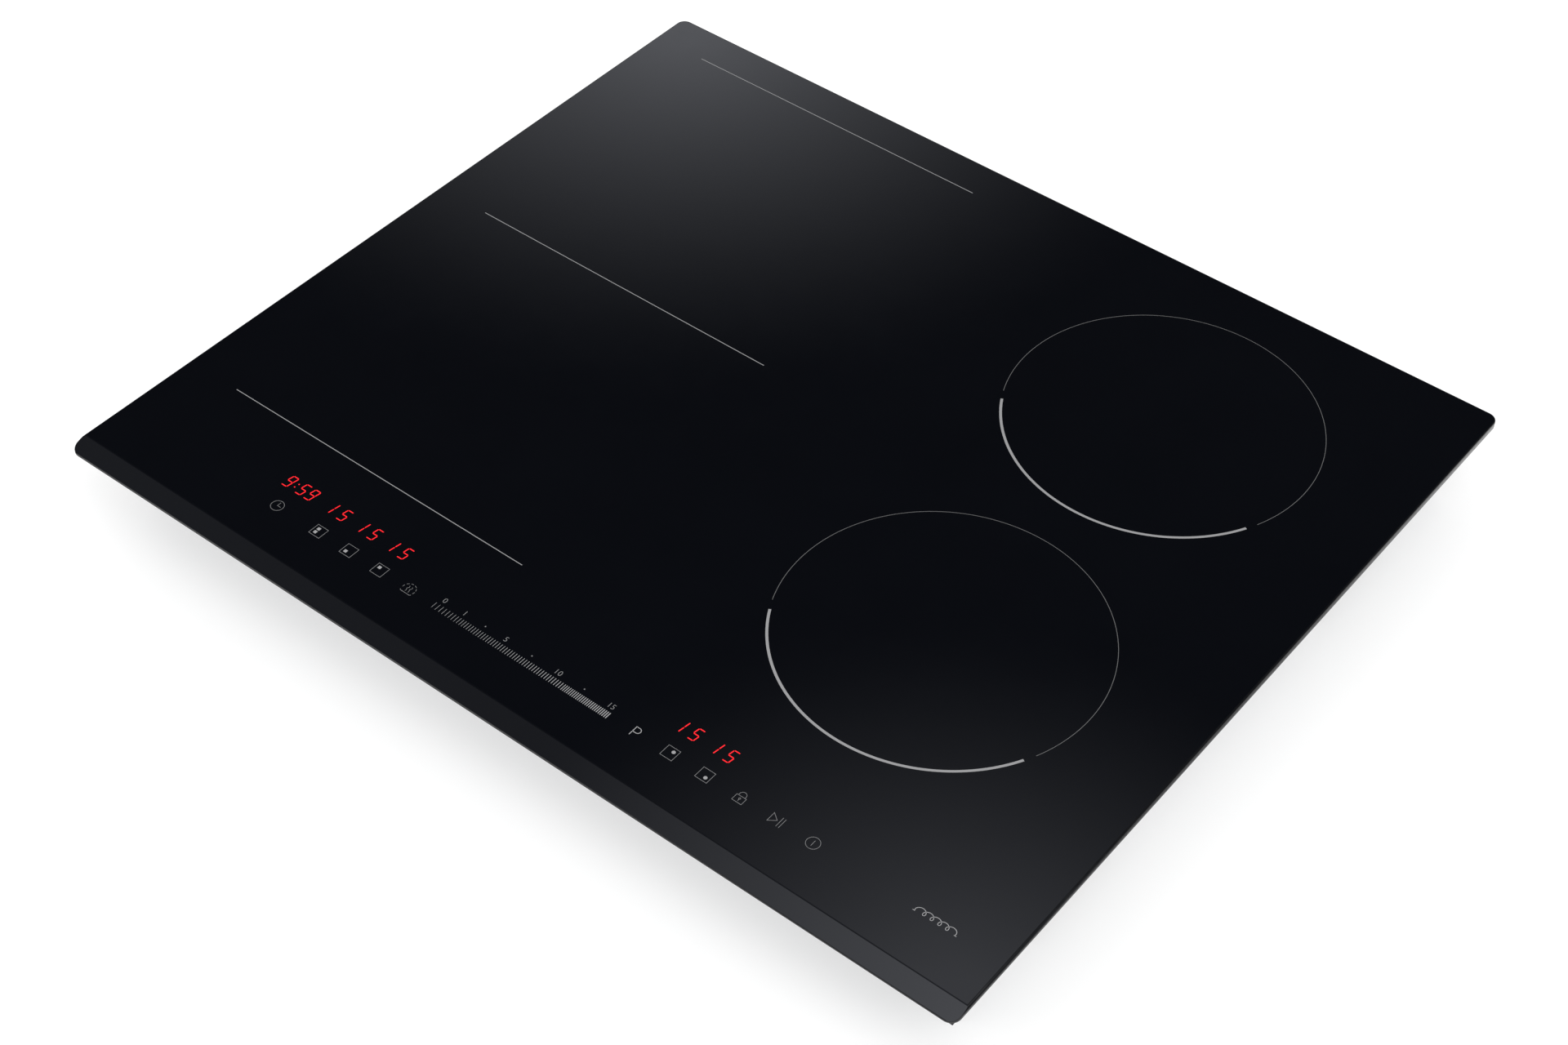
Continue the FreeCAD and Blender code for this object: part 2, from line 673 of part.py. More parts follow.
def span(sign, near, far):
    """The low and high ends of a stretch on one side of the middle."""
    return (f"{near}", f"{far}") if sign > 0 else (f"-({far})", f"-({near})")


def plain_board(label, x_low, y_low, x_high, y_high, z_low, holes, thick="board_thick"):
    body = new_body(label)
    outline = new_sketch(body, offset=("0", "0", z_low))
    draw_rectangle(outline, x_low, y_low, x_high, y_high)
    round_uprights(body, pad(body, outline, thick), "2")
    drill = new_sketch(body, offset=("0", "0", f"{z_low} - 1"))
    for x, y in holes:
        draw_circle(drill, x, y, "1.7")
    pocket(body, drill, f"{thick} + 2")
    return body


def power_boards():
    spacers = []
    for side, sign in SIDES.items():
        low, high = span(sign, "board_inner", "board_outer")
        columns = (f"({low}) + 6", f"({high}) - 6")
        holes = [(x, y) for x in columns for y in ("board_front + 6", "board_rear - 6")]
        plain_board(f"power_board_{side}", low, "board_front", high, "board_rear", "board_low", holes)
        spacers += holes
    filter_holes = [(x, y) for x in ("filter_left + 5", "filter_right - 5")
                    for y in ("filter_front + 5", "filter_rear - 5")]
    plain_board("mains_filter_board", "filter_left", "filter_front", "filter_right", "filter_rear",
                "board_low", filter_holes)
    posts = []
    for x, y in spacers + filter_holes:
        foot = cylinder(x, y, "sheet", "spacer_radius", "board_low - sheet")
        snap = cylinder(x, y, "board_low - 1", "1.6", "board_thick + 2.5")
        posts.append(fuse(foot, snap))
    node("board_spacers", group(posts))


def heat_sinks():
    """One finned extrusion on each power board."""
    extrusions = []
    for sign in SIDES.values():
        body = doc.addObject("PartDesign::Body", "heat_sink")
        base = new_sketch(body, offset=("0", "0", BOARD_TOP))
        draw_rectangle(base, "-sink_half", "sink_front", "sink_half", "sink_rear")
        pad(body, base, "sink_base")
        fins = new_sketch(body, offset=("0", "0", BOARD_TOP))
        draw_rectangle(fins, "-sink_half", "sink_front", "-sink_half + fin_thick", "sink_rear")
        fin = pad(body, fins, f"sink_top - ({BOARD_TOP})")
        linear(body, fin, fins, "fin_pitch*8", "9")
        place(body, f"{sign}*sink_middle", "0", "0")
        extrusions.append(body)
    node("heat_sinks", group(extrusions))


def board_parts():
    """Transistors clipped to the sinks, film capacitors and chokes."""
    transistors, capacitors, chokes = [], [], []
    sink_face = "sink_middle - sink_half - 0.2"
    part_top = f"{BOARD_TOP} + capacitor_height"
    for sign in SIDES.values():
        for step in range(6):
            transistors.append(transistor(sign, sink_face, f"sink_front + 8 + {step}*transistor_pitch"))
        for step in range(4):
            low, high = span(sign, "board_inner + 12", "board_inner + 50")
            y_low = f"board_front + 30 + {step}*capacitor_pitch"
            capacitors.append(box(low, y_low, BOARD_TOP, high, f"{y_low} + capacitor_length", part_top))
        for step in range(2):
            chokes.append(toroid(f"{sign}*(board_outer - 30)", f"board_front + 60 + {step}*choke_pitch"))
    for y in ("filter_front + 22", "filter_front + 70"):
        chokes.append(toroid("(filter_left + filter_right)/2", y))
    for y_low in ("filter_rear - 86", "filter_rear - 56"):
        capacitors.append(box("filter_left + 6", y_low, BOARD_TOP, "filter_right - 6",
                              f"{y_low} + filter_capacitor", part_top))
    node("power_transistors", group(transistors))
    node("film_capacitors", group(capacitors))
    node("filter_chokes", group(chokes))


def transistor(sign, sink_face, y_low):
    """A flat case against the sink, on three legs that stand in the board."""
    low, high = span(sign, f"{sink_face} - transistor_thick", sink_face)
    bottom = f"{BOARD_TOP} + transistor_lift"
    case = box(low, y_low, bottom, high, f"{y_low} + transistor_length", f"{bottom} + transistor_height")
    legs = []
    for leg in (-1, 0, 1):
        leg_low = f"{y_low} + (transistor_length - leg_width)/2 + {leg}*leg_pitch"
        legs.append(box(f"({low}) + 2", leg_low, BOARD_TOP, f"({high}) - 2", f"{leg_low} + leg_width",
                        f"{bottom} + 0.6"))
    return fuse(case, *legs)


def toroid(x, y):
    """A wound ring choke lying flat on its board."""
    outside = cylinder(x, y, BOARD_TOP, "choke_radius", "choke_height")
    return cut(outside, cylinder(x, y, f"{BOARD_TOP} - 1", "choke_hole", "choke_height + 2"))


# ---- fans ----


def fan_housing(side, x):
    walls = box(f"{x} - fan_half", "fan_y - fan_half", "sheet", f"{x} + fan_half", "fan_y + fan_half",
                "fan_top")
    room_top = "fan_top - fan_wall"
    chamber = cylinder(x, "fan_y", "0", "fan_chamber", room_top)
    outlet = box(f"{x} - 6", "fan_y - fan_half - 1", "0", f"{x} + fan_chamber - 2", "fan_y", room_top)
    shell = cut(walls, chamber, outlet)
    motor = cylinder(x, "fan_y", "rotor_top + 0.5", "motor_radius", f"{room_top} - rotor_top")
    axle = cylinder(x, "fan_y", "axle_low", "axle_radius", f"{room_top} + 0.5 - axle_low")
    node(f"fan_housing_{side}", fuse(shell, motor, axle))


def fan_rotor(side, x):
    body = new_body(f"fan_rotor_{side}")
    plate = new_sketch(body, offset=("0", "0", "rotor_top - 2"))
    draw_circle(plate, "0", "0", "rotor_radius")
    pad(body, plate, "2")
    hub = new_sketch(body, offset=("0", "0", "axle_low - 1"))
    draw_circle(hub, "0", "0", "hub_radius")
    pad(body, hub, "rotor_top - axle_low + 1")
    blade = new_sketch(body, offset=("0", "0", "rotor_low"))
    draw_polygon(blade, [("28", "-3"), ("28.6", "-3.8"), ("rotor_radius - 0.8", "1"),
                         ("rotor_radius - 1.4", "1.8")])
    fin = pad(body, blade, "rotor_top - rotor_low - 1")
    polar(body, fin, blade, "blade_count")
    lip = new_sketch(body, offset=("0", "0", "rotor_low"))
    draw_circle(lip, "0", "0", "rotor_radius")
    draw_circle(lip, "0", "0", "rotor_radius - 3")
    pad(body, lip, "1.6")
    bore = new_sketch(body, offset=("0", "0", "0"))
    draw_circle(bore, "0", "0", "axle_radius + axle_play")
    pocket(body, bore, "rotor_top + 1")
    place(body, x, "fan_y", "0")


# ---- mains terminals ----


def terminal_box():
    rear = "case_depth/2"
    outer = box("box_left", "box_front", "box_low", "box_right", rear, "box_high")
    hollow = box("box_left + box_wall", "box_front + box_wall", "box_low + box_wall", "box_right - box_wall",
                 f"{rear} - box_wall", "box_high - box_wall")
    mouth = box("mouth_left", f"{rear} - box_wall - 1", "mouth_low", "mouth_right", f"{rear} + 1",
                "mouth_high")
    wire_slot = box("207", "box_front - 1", "21", "247", "box_front + box_wall + 1", "29")
    collar = cylinder("cable_x", "collar_inner", "cable_z", "collar_radius",
                      "collar_outer - collar_inner", "Y")
    bore = cylinder("cable_x", "collar_inner - 1", "cable_z", "cable_radius",
                    "collar_outer - collar_inner + 2", "Y")
    ears = []
    for low, high in (("cover_left - 3", "cover_left - 0.8"), ("cover_right + 0.8", "cover_right + 3")):
        ears.append(box(low, f"{rear} - 0.5", "hinge_z - 2.4", high, "hinge_y + 1.4", "hinge_z + 2.4"))
    pin_way = cylinder("cover_left - 4", "hinge_y", "hinge_z", "pin_radius + hinge_play",
                       "cover_right - cover_left + 8", "X")
    shell = fuse(cut(outer, hollow, mouth, wire_slot), collar, *ears)
    node("terminal_box", cut(shell, bore, pin_way))


def terminal_cover():
    plate = box("cover_left", "case_depth/2 + 0.2", "cover_low", "cover_right",
                "case_depth/2 + 0.2 + cover_thick", "hinge_z")
    barrel = cylinder("cover_left", "hinge_y", "hinge_z", "hinge_radius", "cover_right - cover_left", "X")
    pin = cylinder("cover_left - 3", "hinge_y", "hinge_z", "pin_radius", "cover_right - cover_left + 6", "X")
    grip = box("(cover_left + cover_right)/2 - 10", "case_depth/2 + cover_thick", "cover_low",
               "(cover_left + cover_right)/2 + 10", "case_depth/2 + cover_thick + 0.9", "cover_low + 2")
    node("terminal_cover", fuse(plate, barrel, pin, grip))


def terminal_block():
    body = new_body("terminal_block")
    low = "box_low + box_wall"
    foot = new_sketch(body, offset=("0", "0", low))
    draw_rectangle(foot, "204", "box_front + box_wall + 0.6", "250", "box_front + box_wall + 15")
    pad(body, foot, "13")
    wells = new_sketch(body, offset=("208.6", "box_front + box_wall + 7", f"{low} + 5"))
    draw_circle(wells, "0", "0", "2.6")
    well = pocket(body, wells, "9")
    linear(body, well, wells, "36.8", "5")


def terminal_screws():
    made = []
    for step in range(5):
        x = f"208.6 + {9.2 * step:.1f}"
        made.append(cylinder(x, "box_front + box_wall + 7", "box_low + box_wall + 5", "2.4", "5"))
    node("terminal_screws", group(made))


def cable_clamp():
    """Saddle that grips the supply cable behind the collar."""
    y_low, low = "collar_inner - 14", "box_low + box_wall"
    saddle = box("cable_x - 11", y_low, low, "cable_x + 11", f"{y_low} + 9", "cable_z + 12")
    way = cylinder("cable_x", f"{y_low} - 1", "cable_z", "cable_radius", "11", "Y")
    split = box("cable_x - 12", f"{y_low} - 1", "cable_z - 1", "cable_x + 12", f"{y_low} + 10", "cable_z + 1")
    bolts = []
    for sign in (-1, 1):
        bolts.append(cylinder(f"cable_x + {sign}*9.4", f"{y_low} + 4.5", "cable_z - 2", "1.2", "4"))
    node("cable_clamp", fuse(cut(saddle, way, split), *bolts))


def bent_wire(points, radius, bend):
    """A round wire of straight runs and tangent arcs through the points."""
    edges = []
    start = points[0]
    for before, corner, after in zip(points, points[1:], points[2:]):
        back = (before - corner).normalize()
        ahead = (after - corner).normalize()
        half = math.acos(max(-1.0, min(1.0, back.dot(ahead)))) / 2
        reach = bend / math.tan(half)
        entry, leave = corner + back * reach, corner + ahead * reach
        toward = (back + ahead).normalize()
        middle = corner + toward * (bend / math.sin(half) - bend)
        edges.append(Part.LineSegment(start, entry).toShape())
        edges.append(Part.Arc(entry, middle, leave).toShape())
        start = leave
    edges.append(Part.LineSegment(start, points[-1]).toShape())
    return round_bar(edges, radius)


def control_ribbon():
    """Flat cable from the right power board up to the rear edge of the control board."""
    low, high = BOARD_TOP, "panel_low + board_thick"
    drop = box("40", "panel_rear + 3", low, "60", "panel_rear + 3.8", f"{high} + 1.2")
    over = box("40", "panel_rear - 6", high, "60", "panel_rear + 3.8", f"{high} + 1.2")
    foot = box("40", "panel_rear + 3", low, "60", "board_front + 8", f"{low} + 1.2")
    return fuse(drop, over, foot)


def wiring():
    """Supply wires to the filter board and its leads to the two power boards."""
    top = number(BOARD_TOP)
    rear = number("filter_rear")
    well_y = number("box_front + box_wall + 7")
    screw_top = number("box_low + box_wall + 10")
    wires = []
    supply, supply_height = number("supply_radius"), number("supply_height")
    for x in (217.8, 227.0, 236.2):
        route = [Vector(x, well_y, screw_top), Vector(x, well_y, supply_height),
                 Vector(x, rear - 7, supply_height), Vector(x, rear - 7, top)]
        wires.append(bent_wire(route, supply, 2 * supply))
    lead, lead_height = number("lead_radius"), number("lead_height")
    start_x = number("filter_left + 8")
    for sign, setback in ((1, 8), (-1, 20)):
        end_x = sign * (number("board_outer") - 12)
        for step in (0, number("lead_pitch")):
            y = number("board_rear") - setback - step
            route = [Vector(start_x + step, y, top), Vector(start_x + step, y, lead_height),
                     Vector(end_x + step, y, lead_height), Vector(end_x + step, y, top)]
            wires.append(bent_wire(route, lead, 2 * lead))
    made = doc.addObject("Part::Feature", "leads")
    made.Shape = Part.makeCompound(wires)
    node("wiring", group([made, control_ribbon()]))


# ---- control panel ----

KEYS = (-175.5, -145.2, -123.0, -100.9, -79.8, 73.1, 94.7, 116.8, 139.0, 161.0, 183.1)
SLIDER_PADS = (-51, -34, -17, 0, 17, 34, 51)
DISPLAYS = ((-190, -160), (-154, -137), (-132, -115), (-110, -93), (86, 102), (107, 124))


def control_panel():
    columns = ("panel_left + 5", "panel_right - 5")
    holes = [(x, y) for x in columns for y in ("panel_front + 5", "panel_rear - 5")]
    plain_board("control_board", "panel_left", "panel_front", "panel_right", "panel_rear", "panel_low", holes)
    top = "panel_low + board_thick"
    glass_under = "total_height - glass_thick"
    displays = [box(low, "display_front", top, high, "display_rear", "display_top") for low, high in DISPLAYS]
    node("display_modules", group(displays))
    contacts = [cylinder(x, "key_line", top, "key_radius", f"{glass_under} - ({top})")
                for x in KEYS + SLIDER_PADS]
    node("touch_contacts", group(contacts))


def control_bracket():
    floor = box("panel_left - 3", "panel_front - 1", "bracket_low", "panel_right + 3", "panel_rear + 2",
                "bracket_low + bracket_thick")
    lightening = [box(f"{x}", "panel_front + 8", "bracket_low - 1", f"{x} + 34", "panel_rear - 8",
                      "bracket_low + bracket_thick + 1") for x in (-205, -155, -105, -55, 25, 75, 125, 171)]
    pieces = []
    for x in ("panel_left + 5", "panel_right - 5", "-10"):
        for y in ("panel_front + 5", "panel_rear - 5"):
            pieces.append(cylinder(x, y, "bracket_low + 1", "3", "panel_low - bracket_low - 1"))
    for x in (-190, 0, 190):
        pieces.append(box(f"{x} - 8", "panel_rear", "deck_low + deck_thick", f"{x} + 8", "deck_front + 4",
                          "deck_low + deck_thick + 2"))
        pieces.append(box(f"{x} - 8", "panel_rear", "deck_low + deck_thick", f"{x} + 8", "panel_rear + 2",
                          "bracket_low + 1"))
        pieces.append(box(f"{x} - 8", "panel_front", "step_height + sheet", f"{x} + 8", "panel_front + 6",
                          "bracket_low + 1"))
    node("control_bracket", fuse(cut(floor, *lightening), *pieces))


# ---- worktop clamps ----


def worktop_clamp(label, x, start):
    body = new_body(f"worktop_clamp_{label}")
    arm = new_sketch(body, offset=("0", "0", "clamp_low"))
    draw_rectangle(arm, "-clamp_width/2", "-clamp_width/2 + 1", "clamp_width/2", "clamp_reach")
    round_uprights(body, pad(body, arm, "clamp_thick"), "4")
    toe = new_sketch(body, offset=("0", "0", "clamp_low"))
    draw_rectangle(toe, "-clamp_width/2 + 4", "clamp_reach - clamp_toe", "clamp_width/2 - 4", "clamp_reach")
    pad(body, toe, "clamp_toe_top - clamp_low")
    eye = new_sketch(body, offset=("0", "0", "clamp_low - 1"))
    draw_circle(eye, "0", "0", "clamp_bolt + clamp_play")
    pocket(body, eye, "clamp_thick + 2")
    place(body, x, f"{start} + clamp_offset", "0")


def clamp_bolts(spots):
    made = []
    for x, start in spots:
        y = f"{start} + clamp_offset"
        head = cylinder(x, y, "0.8", "5", "clamp_low - 0.9")
        shank = cylinder(x, y, "0.8", "clamp_bolt", "recess_height + 5")
        collar = cylinder(x, y, "clamp_low + clamp_thick + 0.1", "4",
                          "recess_height - clamp_low - clamp_thick - 0.1")
        made.append(fuse(head, shank, collar))
    node("clamp_bolts", group(made))


def worktop_clamps():
    right, left = "case_width/2 - clamp_inset", "-case_width/2 + clamp_inset"
    spots = {"front_left": (left, "recess_front"), "front_right": (right, "recess_front"),
             "rear_left": (left, "recess_rear"), "rear_right": (right, "recess_rear")}
    for label, (x, start) in spots.items():
        worktop_clamp(label, x, start)
    clamp_bolts(spots.values())


def build():
    glass_panel()
    rim()
    bottom_case()
    panel_screws()
    for side in SIDES:
        coil_deck(side)
    deck_posts()
    for zone, (x, y, shape) in ZONES.items():
        coil_carrier(zone, x, y, shape)
        ferrites(zone, x, y)
        coil_winding(zone, x, y, shape)
        mica_sheet(zone, x, y, shape)
        temperature_sensor(zone, x, y)
        coil_springs(zone, x, y)
    power_boards()
    heat_sinks()
    board_parts()
    for side, x in FANS.items():
        fan_housing(side, x)
        fan_rotor(side, x)
    terminal_box()
    terminal_cover()
    terminal_block()
    terminal_screws()
    cable_clamp()
    wiring()
    control_panel()
    control_bracket()
    worktop_clamps()
    doc.recompute()


def check_and_write():
    faults = []
    for item in doc.Objects:
        if "Invalid" in item.State or "Error" in item.State:
            faults.append(f"{item.Label} ({item.TypeId}) {item.State}")
    for label, item in nodes.items():
        if item.Shape.isNull() or not item.Shape.isValid():
            faults.append(f"{label} has no valid shape")
    if faults:
        raise SystemExit("\n".join(faults))
    os.makedirs("parts", exist_ok=True)
    for label, item in nodes.items():
        item.Shape.exportStep(f"parts/{label}.step")
        room = item.Shape.BoundBox
        print(f"{label:34s} {len(item.Shape.Solids):3d} solids {item.Shape.Volume / 1000:9.2f} cm3  "
              f"x {room.XMin:7.1f} {room.XMax:7.1f}  y {room.YMin:7.1f} {room.YMax:7.1f}  "
              f"z {room.ZMin:5.1f} {room.ZMax:5.1f}")
    print(len(nodes), "nodes")


build()
check_and_write()
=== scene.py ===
"""Finishes, printed marks, studio and camera of a four-zone induction cooktop.

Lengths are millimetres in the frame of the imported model: x to the right, y to the rear, z up.
They become metres where a mesh, light or camera is made.
"""

import json
import math

import bmesh
import bpy
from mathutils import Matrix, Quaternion, Vector


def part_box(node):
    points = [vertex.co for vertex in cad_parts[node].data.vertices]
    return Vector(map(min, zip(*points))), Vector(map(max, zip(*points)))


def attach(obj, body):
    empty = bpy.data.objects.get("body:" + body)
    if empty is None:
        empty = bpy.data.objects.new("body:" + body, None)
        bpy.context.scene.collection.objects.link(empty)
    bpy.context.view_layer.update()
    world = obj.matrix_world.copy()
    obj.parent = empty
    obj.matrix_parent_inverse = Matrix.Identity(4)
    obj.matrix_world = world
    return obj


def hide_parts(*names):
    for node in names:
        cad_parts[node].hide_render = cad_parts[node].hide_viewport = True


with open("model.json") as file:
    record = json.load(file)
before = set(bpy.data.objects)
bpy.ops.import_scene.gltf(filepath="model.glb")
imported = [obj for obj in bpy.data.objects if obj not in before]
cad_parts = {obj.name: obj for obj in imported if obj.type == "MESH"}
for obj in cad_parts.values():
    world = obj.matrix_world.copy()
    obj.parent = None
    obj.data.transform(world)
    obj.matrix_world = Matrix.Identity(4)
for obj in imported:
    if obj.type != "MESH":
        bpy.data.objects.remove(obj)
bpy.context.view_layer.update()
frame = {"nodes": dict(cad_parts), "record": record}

MM = 0.001
HOB = "hob"

# ---------------------------------------------------------------- sizes from the frame


def span(node):
    """Lowest and highest corner of a CAD node in millimetres."""
    low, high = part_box(node)
    return low / MM, high / MM


def centre(node):
    """Middle of a CAD node seen from above."""
    low, high = span(node)
    return (low.x + high.x) / 2, (low.y + high.y) / 2


GLASS_LOW, GLASS_HIGH = span("ceramic_glass_panel")
LEFT, RIGHT = GLASS_LOW.x, GLASS_HIGH.x
FRONT, REAR = GLASS_LOW.y, GLASS_HIGH.y
GLASS_TOP = GLASS_HIGH.z

CORNER_RADIUS = 6.0
CORNER_STEPS = 14
BEVEL_RUN = 11.0
BEVEL_DROP = 3.8
RIDGE_EASE = 0.06
LOWER_SEAM = 0.35
UPPER_SEAM = 0.9
UPPER_SEAM_STEPS = 5
LIP_SEAM = 0.14
LIP_SEAM_SHARES = (0.3, 0.65)

PRINT_SINK = 0.02
PRINT_RISE = 0.03
GLOW_RISE = 0.035

# ---------------------------------------------------------------- node helpers


class Finish:
    """A Principled material with short calls for the procedural nodes that feed it."""

    def __init__(self, name):
        self.material = bpy.data.materials.new(name)
        self.material.use_nodes = True
        self.nodes = self.material.node_tree.nodes
        self.links = self.material.node_tree.links
        self.shader = self.nodes["Principled BSDF"]
        self.place = self.nodes.new("ShaderNodeTexCoord").outputs["Object"]

    def fixed(self, **values):
        """Sets shader sockets that are the same all over the surface."""
        for socket, value in values.items():
            self.shader.inputs[socket.replace("_", " ")].default_value = value
        return self

    def link(self, output, node, socket):
        self.links.new(output, node.inputs[socket])

    def stretched(self, x, y, z):
        """Object coordinates scaled along each axis."""
        mapping = self.nodes.new("ShaderNodeMapping")
        mapping.inputs["Scale"].default_value = (x, y, z)
        self.link(self.place, mapping, "Vector")
        return mapping.outputs["Vector"]

    def noise(self, size, detail=3.0, roughness=0.5, place=None):
        """Noise with features of about that size in millimetres."""
        node = self.nodes.new("ShaderNodeTexNoise")
        node.inputs["Scale"].default_value = 1 / (size * MM)
        node.inputs["Detail"].default_value = detail
        node.inputs["Roughness"].default_value = roughness
        self.link(place or self.place, node, "Vector")
        return node.outputs["Fac"]

    def cells(self, size, output="Color", feature="F1", place=None):
        """Voronoi cells of about that size in millimetres."""
        node = self.nodes.new("ShaderNodeTexVoronoi")
        node.feature = feature
        node.inputs["Scale"].default_value = 1 / (size * MM)
        self.link(place or self.place, node, "Vector")
        return node.outputs[output]

    def bands(self, pitch, axis, distortion=0.0):
        """Parallel bands of that pitch in millimetres."""
        node = self.nodes.new("ShaderNodeTexWave")
        node.bands_direction = axis
        node.inputs["Scale"].default_value = math.pi / 10 / (pitch * MM)
        node.inputs["Distortion"].default_value = distortion
        self.link(self.place, node, "Vector")
        return node.outputs["Fac"]

    def spread(self, value, low, high, start=0.0, end=1.0):
        """Maps a value between start and end onto low to high."""
        node = self.nodes.new("ShaderNodeMapRange")
        for socket, number in zip(("From Min", "From Max", "To Min", "To Max"), (start, end, low, high)):
            node.inputs[socket].default_value = number
        self.link(value, node, "Value")
        return node.outputs["Result"]

    def blend(self, value, colour_a, colour_b):
        """Colour between two colours, or between two earlier outputs."""
        node = self.nodes.new("ShaderNodeMix")
        node.data_type = "RGBA"
        self.links.new(value, node.inputs[0])
        for socket, colour in ((6, colour_a), (7, colour_b)):
            if isinstance(colour, tuple):
                node.inputs[socket].default_value = (*colour, 1.0)
            else:
                self.links.new(colour, node.inputs[socket])
        return node.outputs[2]

    def sum(self, first, second, weight):
        """first plus weight times second."""
        node = self.nodes.new("ShaderNodeMath")
        node.operation = "MULTIPLY_ADD"
        self.links.new(second, node.inputs[0])
        node.inputs[1].default_value = weight
        self.links.new(first, node.inputs[2])
        return node.outputs[0]

    def edges(self, width):
        """1 along convex and concave edges within that many millimetres, 0 elsewhere."""
        bevel = self.nodes.new("ShaderNodeBevel")
        bevel.samples = 4
        bevel.inputs["Radius"].default_value = width * MM
        geometry = self.nodes.new("ShaderNodeNewGeometry")
        dot = self.nodes.new("ShaderNodeVectorMath")
        dot.operation = "DOT_PRODUCT"
        self.links.new(bevel.outputs["Normal"], dot.inputs[0])
        self.links.new(geometry.outputs["Normal"], dot.inputs[1])
        return self.spread(dot.outputs["Value"], 1.0, 0.0, 0.9, 0.995)

    def colour(self, output):
        self.link(output, self.shader, "Base Color")
        return self

    def roughness(self, output):
        self.link(output, self.shader, "Roughness")
        return self

    def bump(self, height, depth, strength=0.5):
        """Relief of that depth in millimetres."""
        node = self.nodes.new("ShaderNodeBump")
        node.inputs["Strength"].default_value = strength
        node.inputs["Distance"].default_value = depth * MM
        self.link(height, node, "Height")
        self.link(node.outputs["Normal"], self.shader, "Normal")
        return self


# ---------------------------------------------------------------- finishes


def black_glass():
    """Polished black ceramic glass with the faint waviness of rolled glass."""
    f = Finish("black_glass_ceramic").fixed(IOR=1.5)
    haze = f.noise(60, detail=4)
    f.colour(f.blend(haze, (0.0014, 0.0017, 0.0028), (0.0020, 0.0024, 0.0038)))
    smears = f.noise(18, detail=6, roughness=0.6)
    f.roughness(f.spread(smears, 0.035, 0.06, 0.3, 0.7))
    f.bump(f.noise(25, detail=1), 0.004, 0.15)
    return f.material


def ground_glass():
    """The finely ground and seamed edge of the same glass."""
    f = Finish("ground_glass_edge").fixed(IOR=1.5)
    grain = f.noise(0.25, detail=4, roughness=0.7)
    f.colour(f.blend(grain, (0.0035, 0.0036, 0.0042), (0.0065, 0.0067, 0.0075)))
    f.roughness(f.spread(f.noise(6), 0.16, 0.26, 0.3, 0.7))
    f.bump(grain, 0.01, 0.2)
    return f.material


def enamel(name, tone, speckle):
    """Fired ceramic ink with the fine grain of a screen print."""
    f = Finish(name).fixed(IOR=1.5)
    grain = f.noise(0.35, detail=3, roughness=0.6)
    dark = (tone - speckle, tone - speckle, tone - speckle * 0.8)
    light = (tone + speckle, tone + speckle, tone + speckle * 1.2)
    f.colour(f.blend(grain, dark, light))
    f.roughness(f.spread(grain, 0.38, 0.55))
    f.bump(grain, 0.004, 0.3)
    return f.material


def red_light():
    """A lit red segment, a little brighter in its middle grain."""
    f = Finish("display_red").fixed(Roughness=0.3)
    glow = f.noise(0.8, detail=1)
    f.colour(f.blend(glow, (0.20, 0.004, 0.006), (0.26, 0.005, 0.008)))
    f.link(f.blend(glow, (0.92, 0.010, 0.017), (1.0, 0.014, 0.023)), f.shader, "Emission Color")
    f.fixed(Emission_Strength=1.0)
    return f.material


def galvanised():
    """Hot-dip galvanised sheet: spangle cells, rolling lines, brighter rubbed edges."""
    f = Finish("galvanised_sheet").fixed(Metallic=1.0)
    spangle = f.cells(5)
    tone = f.nodes.new("ShaderNodeRGBToBW")
    f.link(spangle, tone, "Color")
    rolled = f.noise(1.2, detail=2, place=f.stretched(0.06, 1, 1))
    sheet = f.blend(tone.outputs[0], (0.42, 0.43, 0.45), (0.50, 0.51, 0.53))
    dusty = f.blend(f.spread(f.noise(45, detail=5), 0, 0.30, 0.45, 0.8), sheet, (0.34, 0.34, 0.335))
    f.colour(f.blend(f.edges(0.8), dusty, (0.66, 0.67, 0.68)))
    f.roughness(f.sum(f.spread(tone.outputs[0], 0.30, 0.38), rolled, 0.12))
    f.bump(f.sum(rolled, tone.outputs[0], 0.2), 0.04, 0.3)
    return f.material


def plated(name, dark, light, rough):
    """Zinc-plated steel with cloudy passivation and rubbed edges."""
    f = Finish(name).fixed(Metallic=1.0)
    cloud = f.noise(4, detail=5, roughness=0.6)
    rubbed = tuple(min(1.0, value * 1.25) for value in light)
    f.colour(f.blend(f.edges(0.3), f.blend(cloud, dark, light), rubbed))
    f.roughness(f.spread(cloud, rough - 0.06, rough + 0.10, 0.3, 0.7))
    f.bump(f.noise(0.4, detail=4), 0.02, 0.3)
    return f.material


def brushed(name, dark, light, along):
    """Rolled aluminium with fine lines along one axis."""
    f = Finish(name).fixed(Metallic=1.0)
    line = f.noise(0.8, detail=3, place=f.stretched(*along))
    cloud = f.noise(30, detail=4)
    f.colour(f.blend(f.sum(f.spread(cloud, -0.2, 0.3), line, 0.8), dark, light))
    f.roughness(f.spread(line, 0.26, 0.42, 0.3, 0.7))
    f.bump(line, 0.03, 0.3)
    return f.material


def moulded(name, dark, light, rough, grain=0.5, worn=None):
    """Moulded plastic: fine spark-eroded grain, slow tone drift, paler rubbed edges."""
    f = Finish(name).fixed(IOR=1.46)
    drift = f.noise(28, detail=4)
    body = f.blend(f.spread(drift, 0, 1, 0.3, 0.7), dark, light)
    if worn:
        body = f.blend(f.edges(0.5), body, worn)
    f.colour(body)
    skin = f.noise(grain, detail=4, roughness=0.65)
    f.roughness(f.spread(skin, rough - 0.08, rough + 0.10, 0.3, 0.7))
    f.bump(skin, 0.035, 0.35)
    return f.material


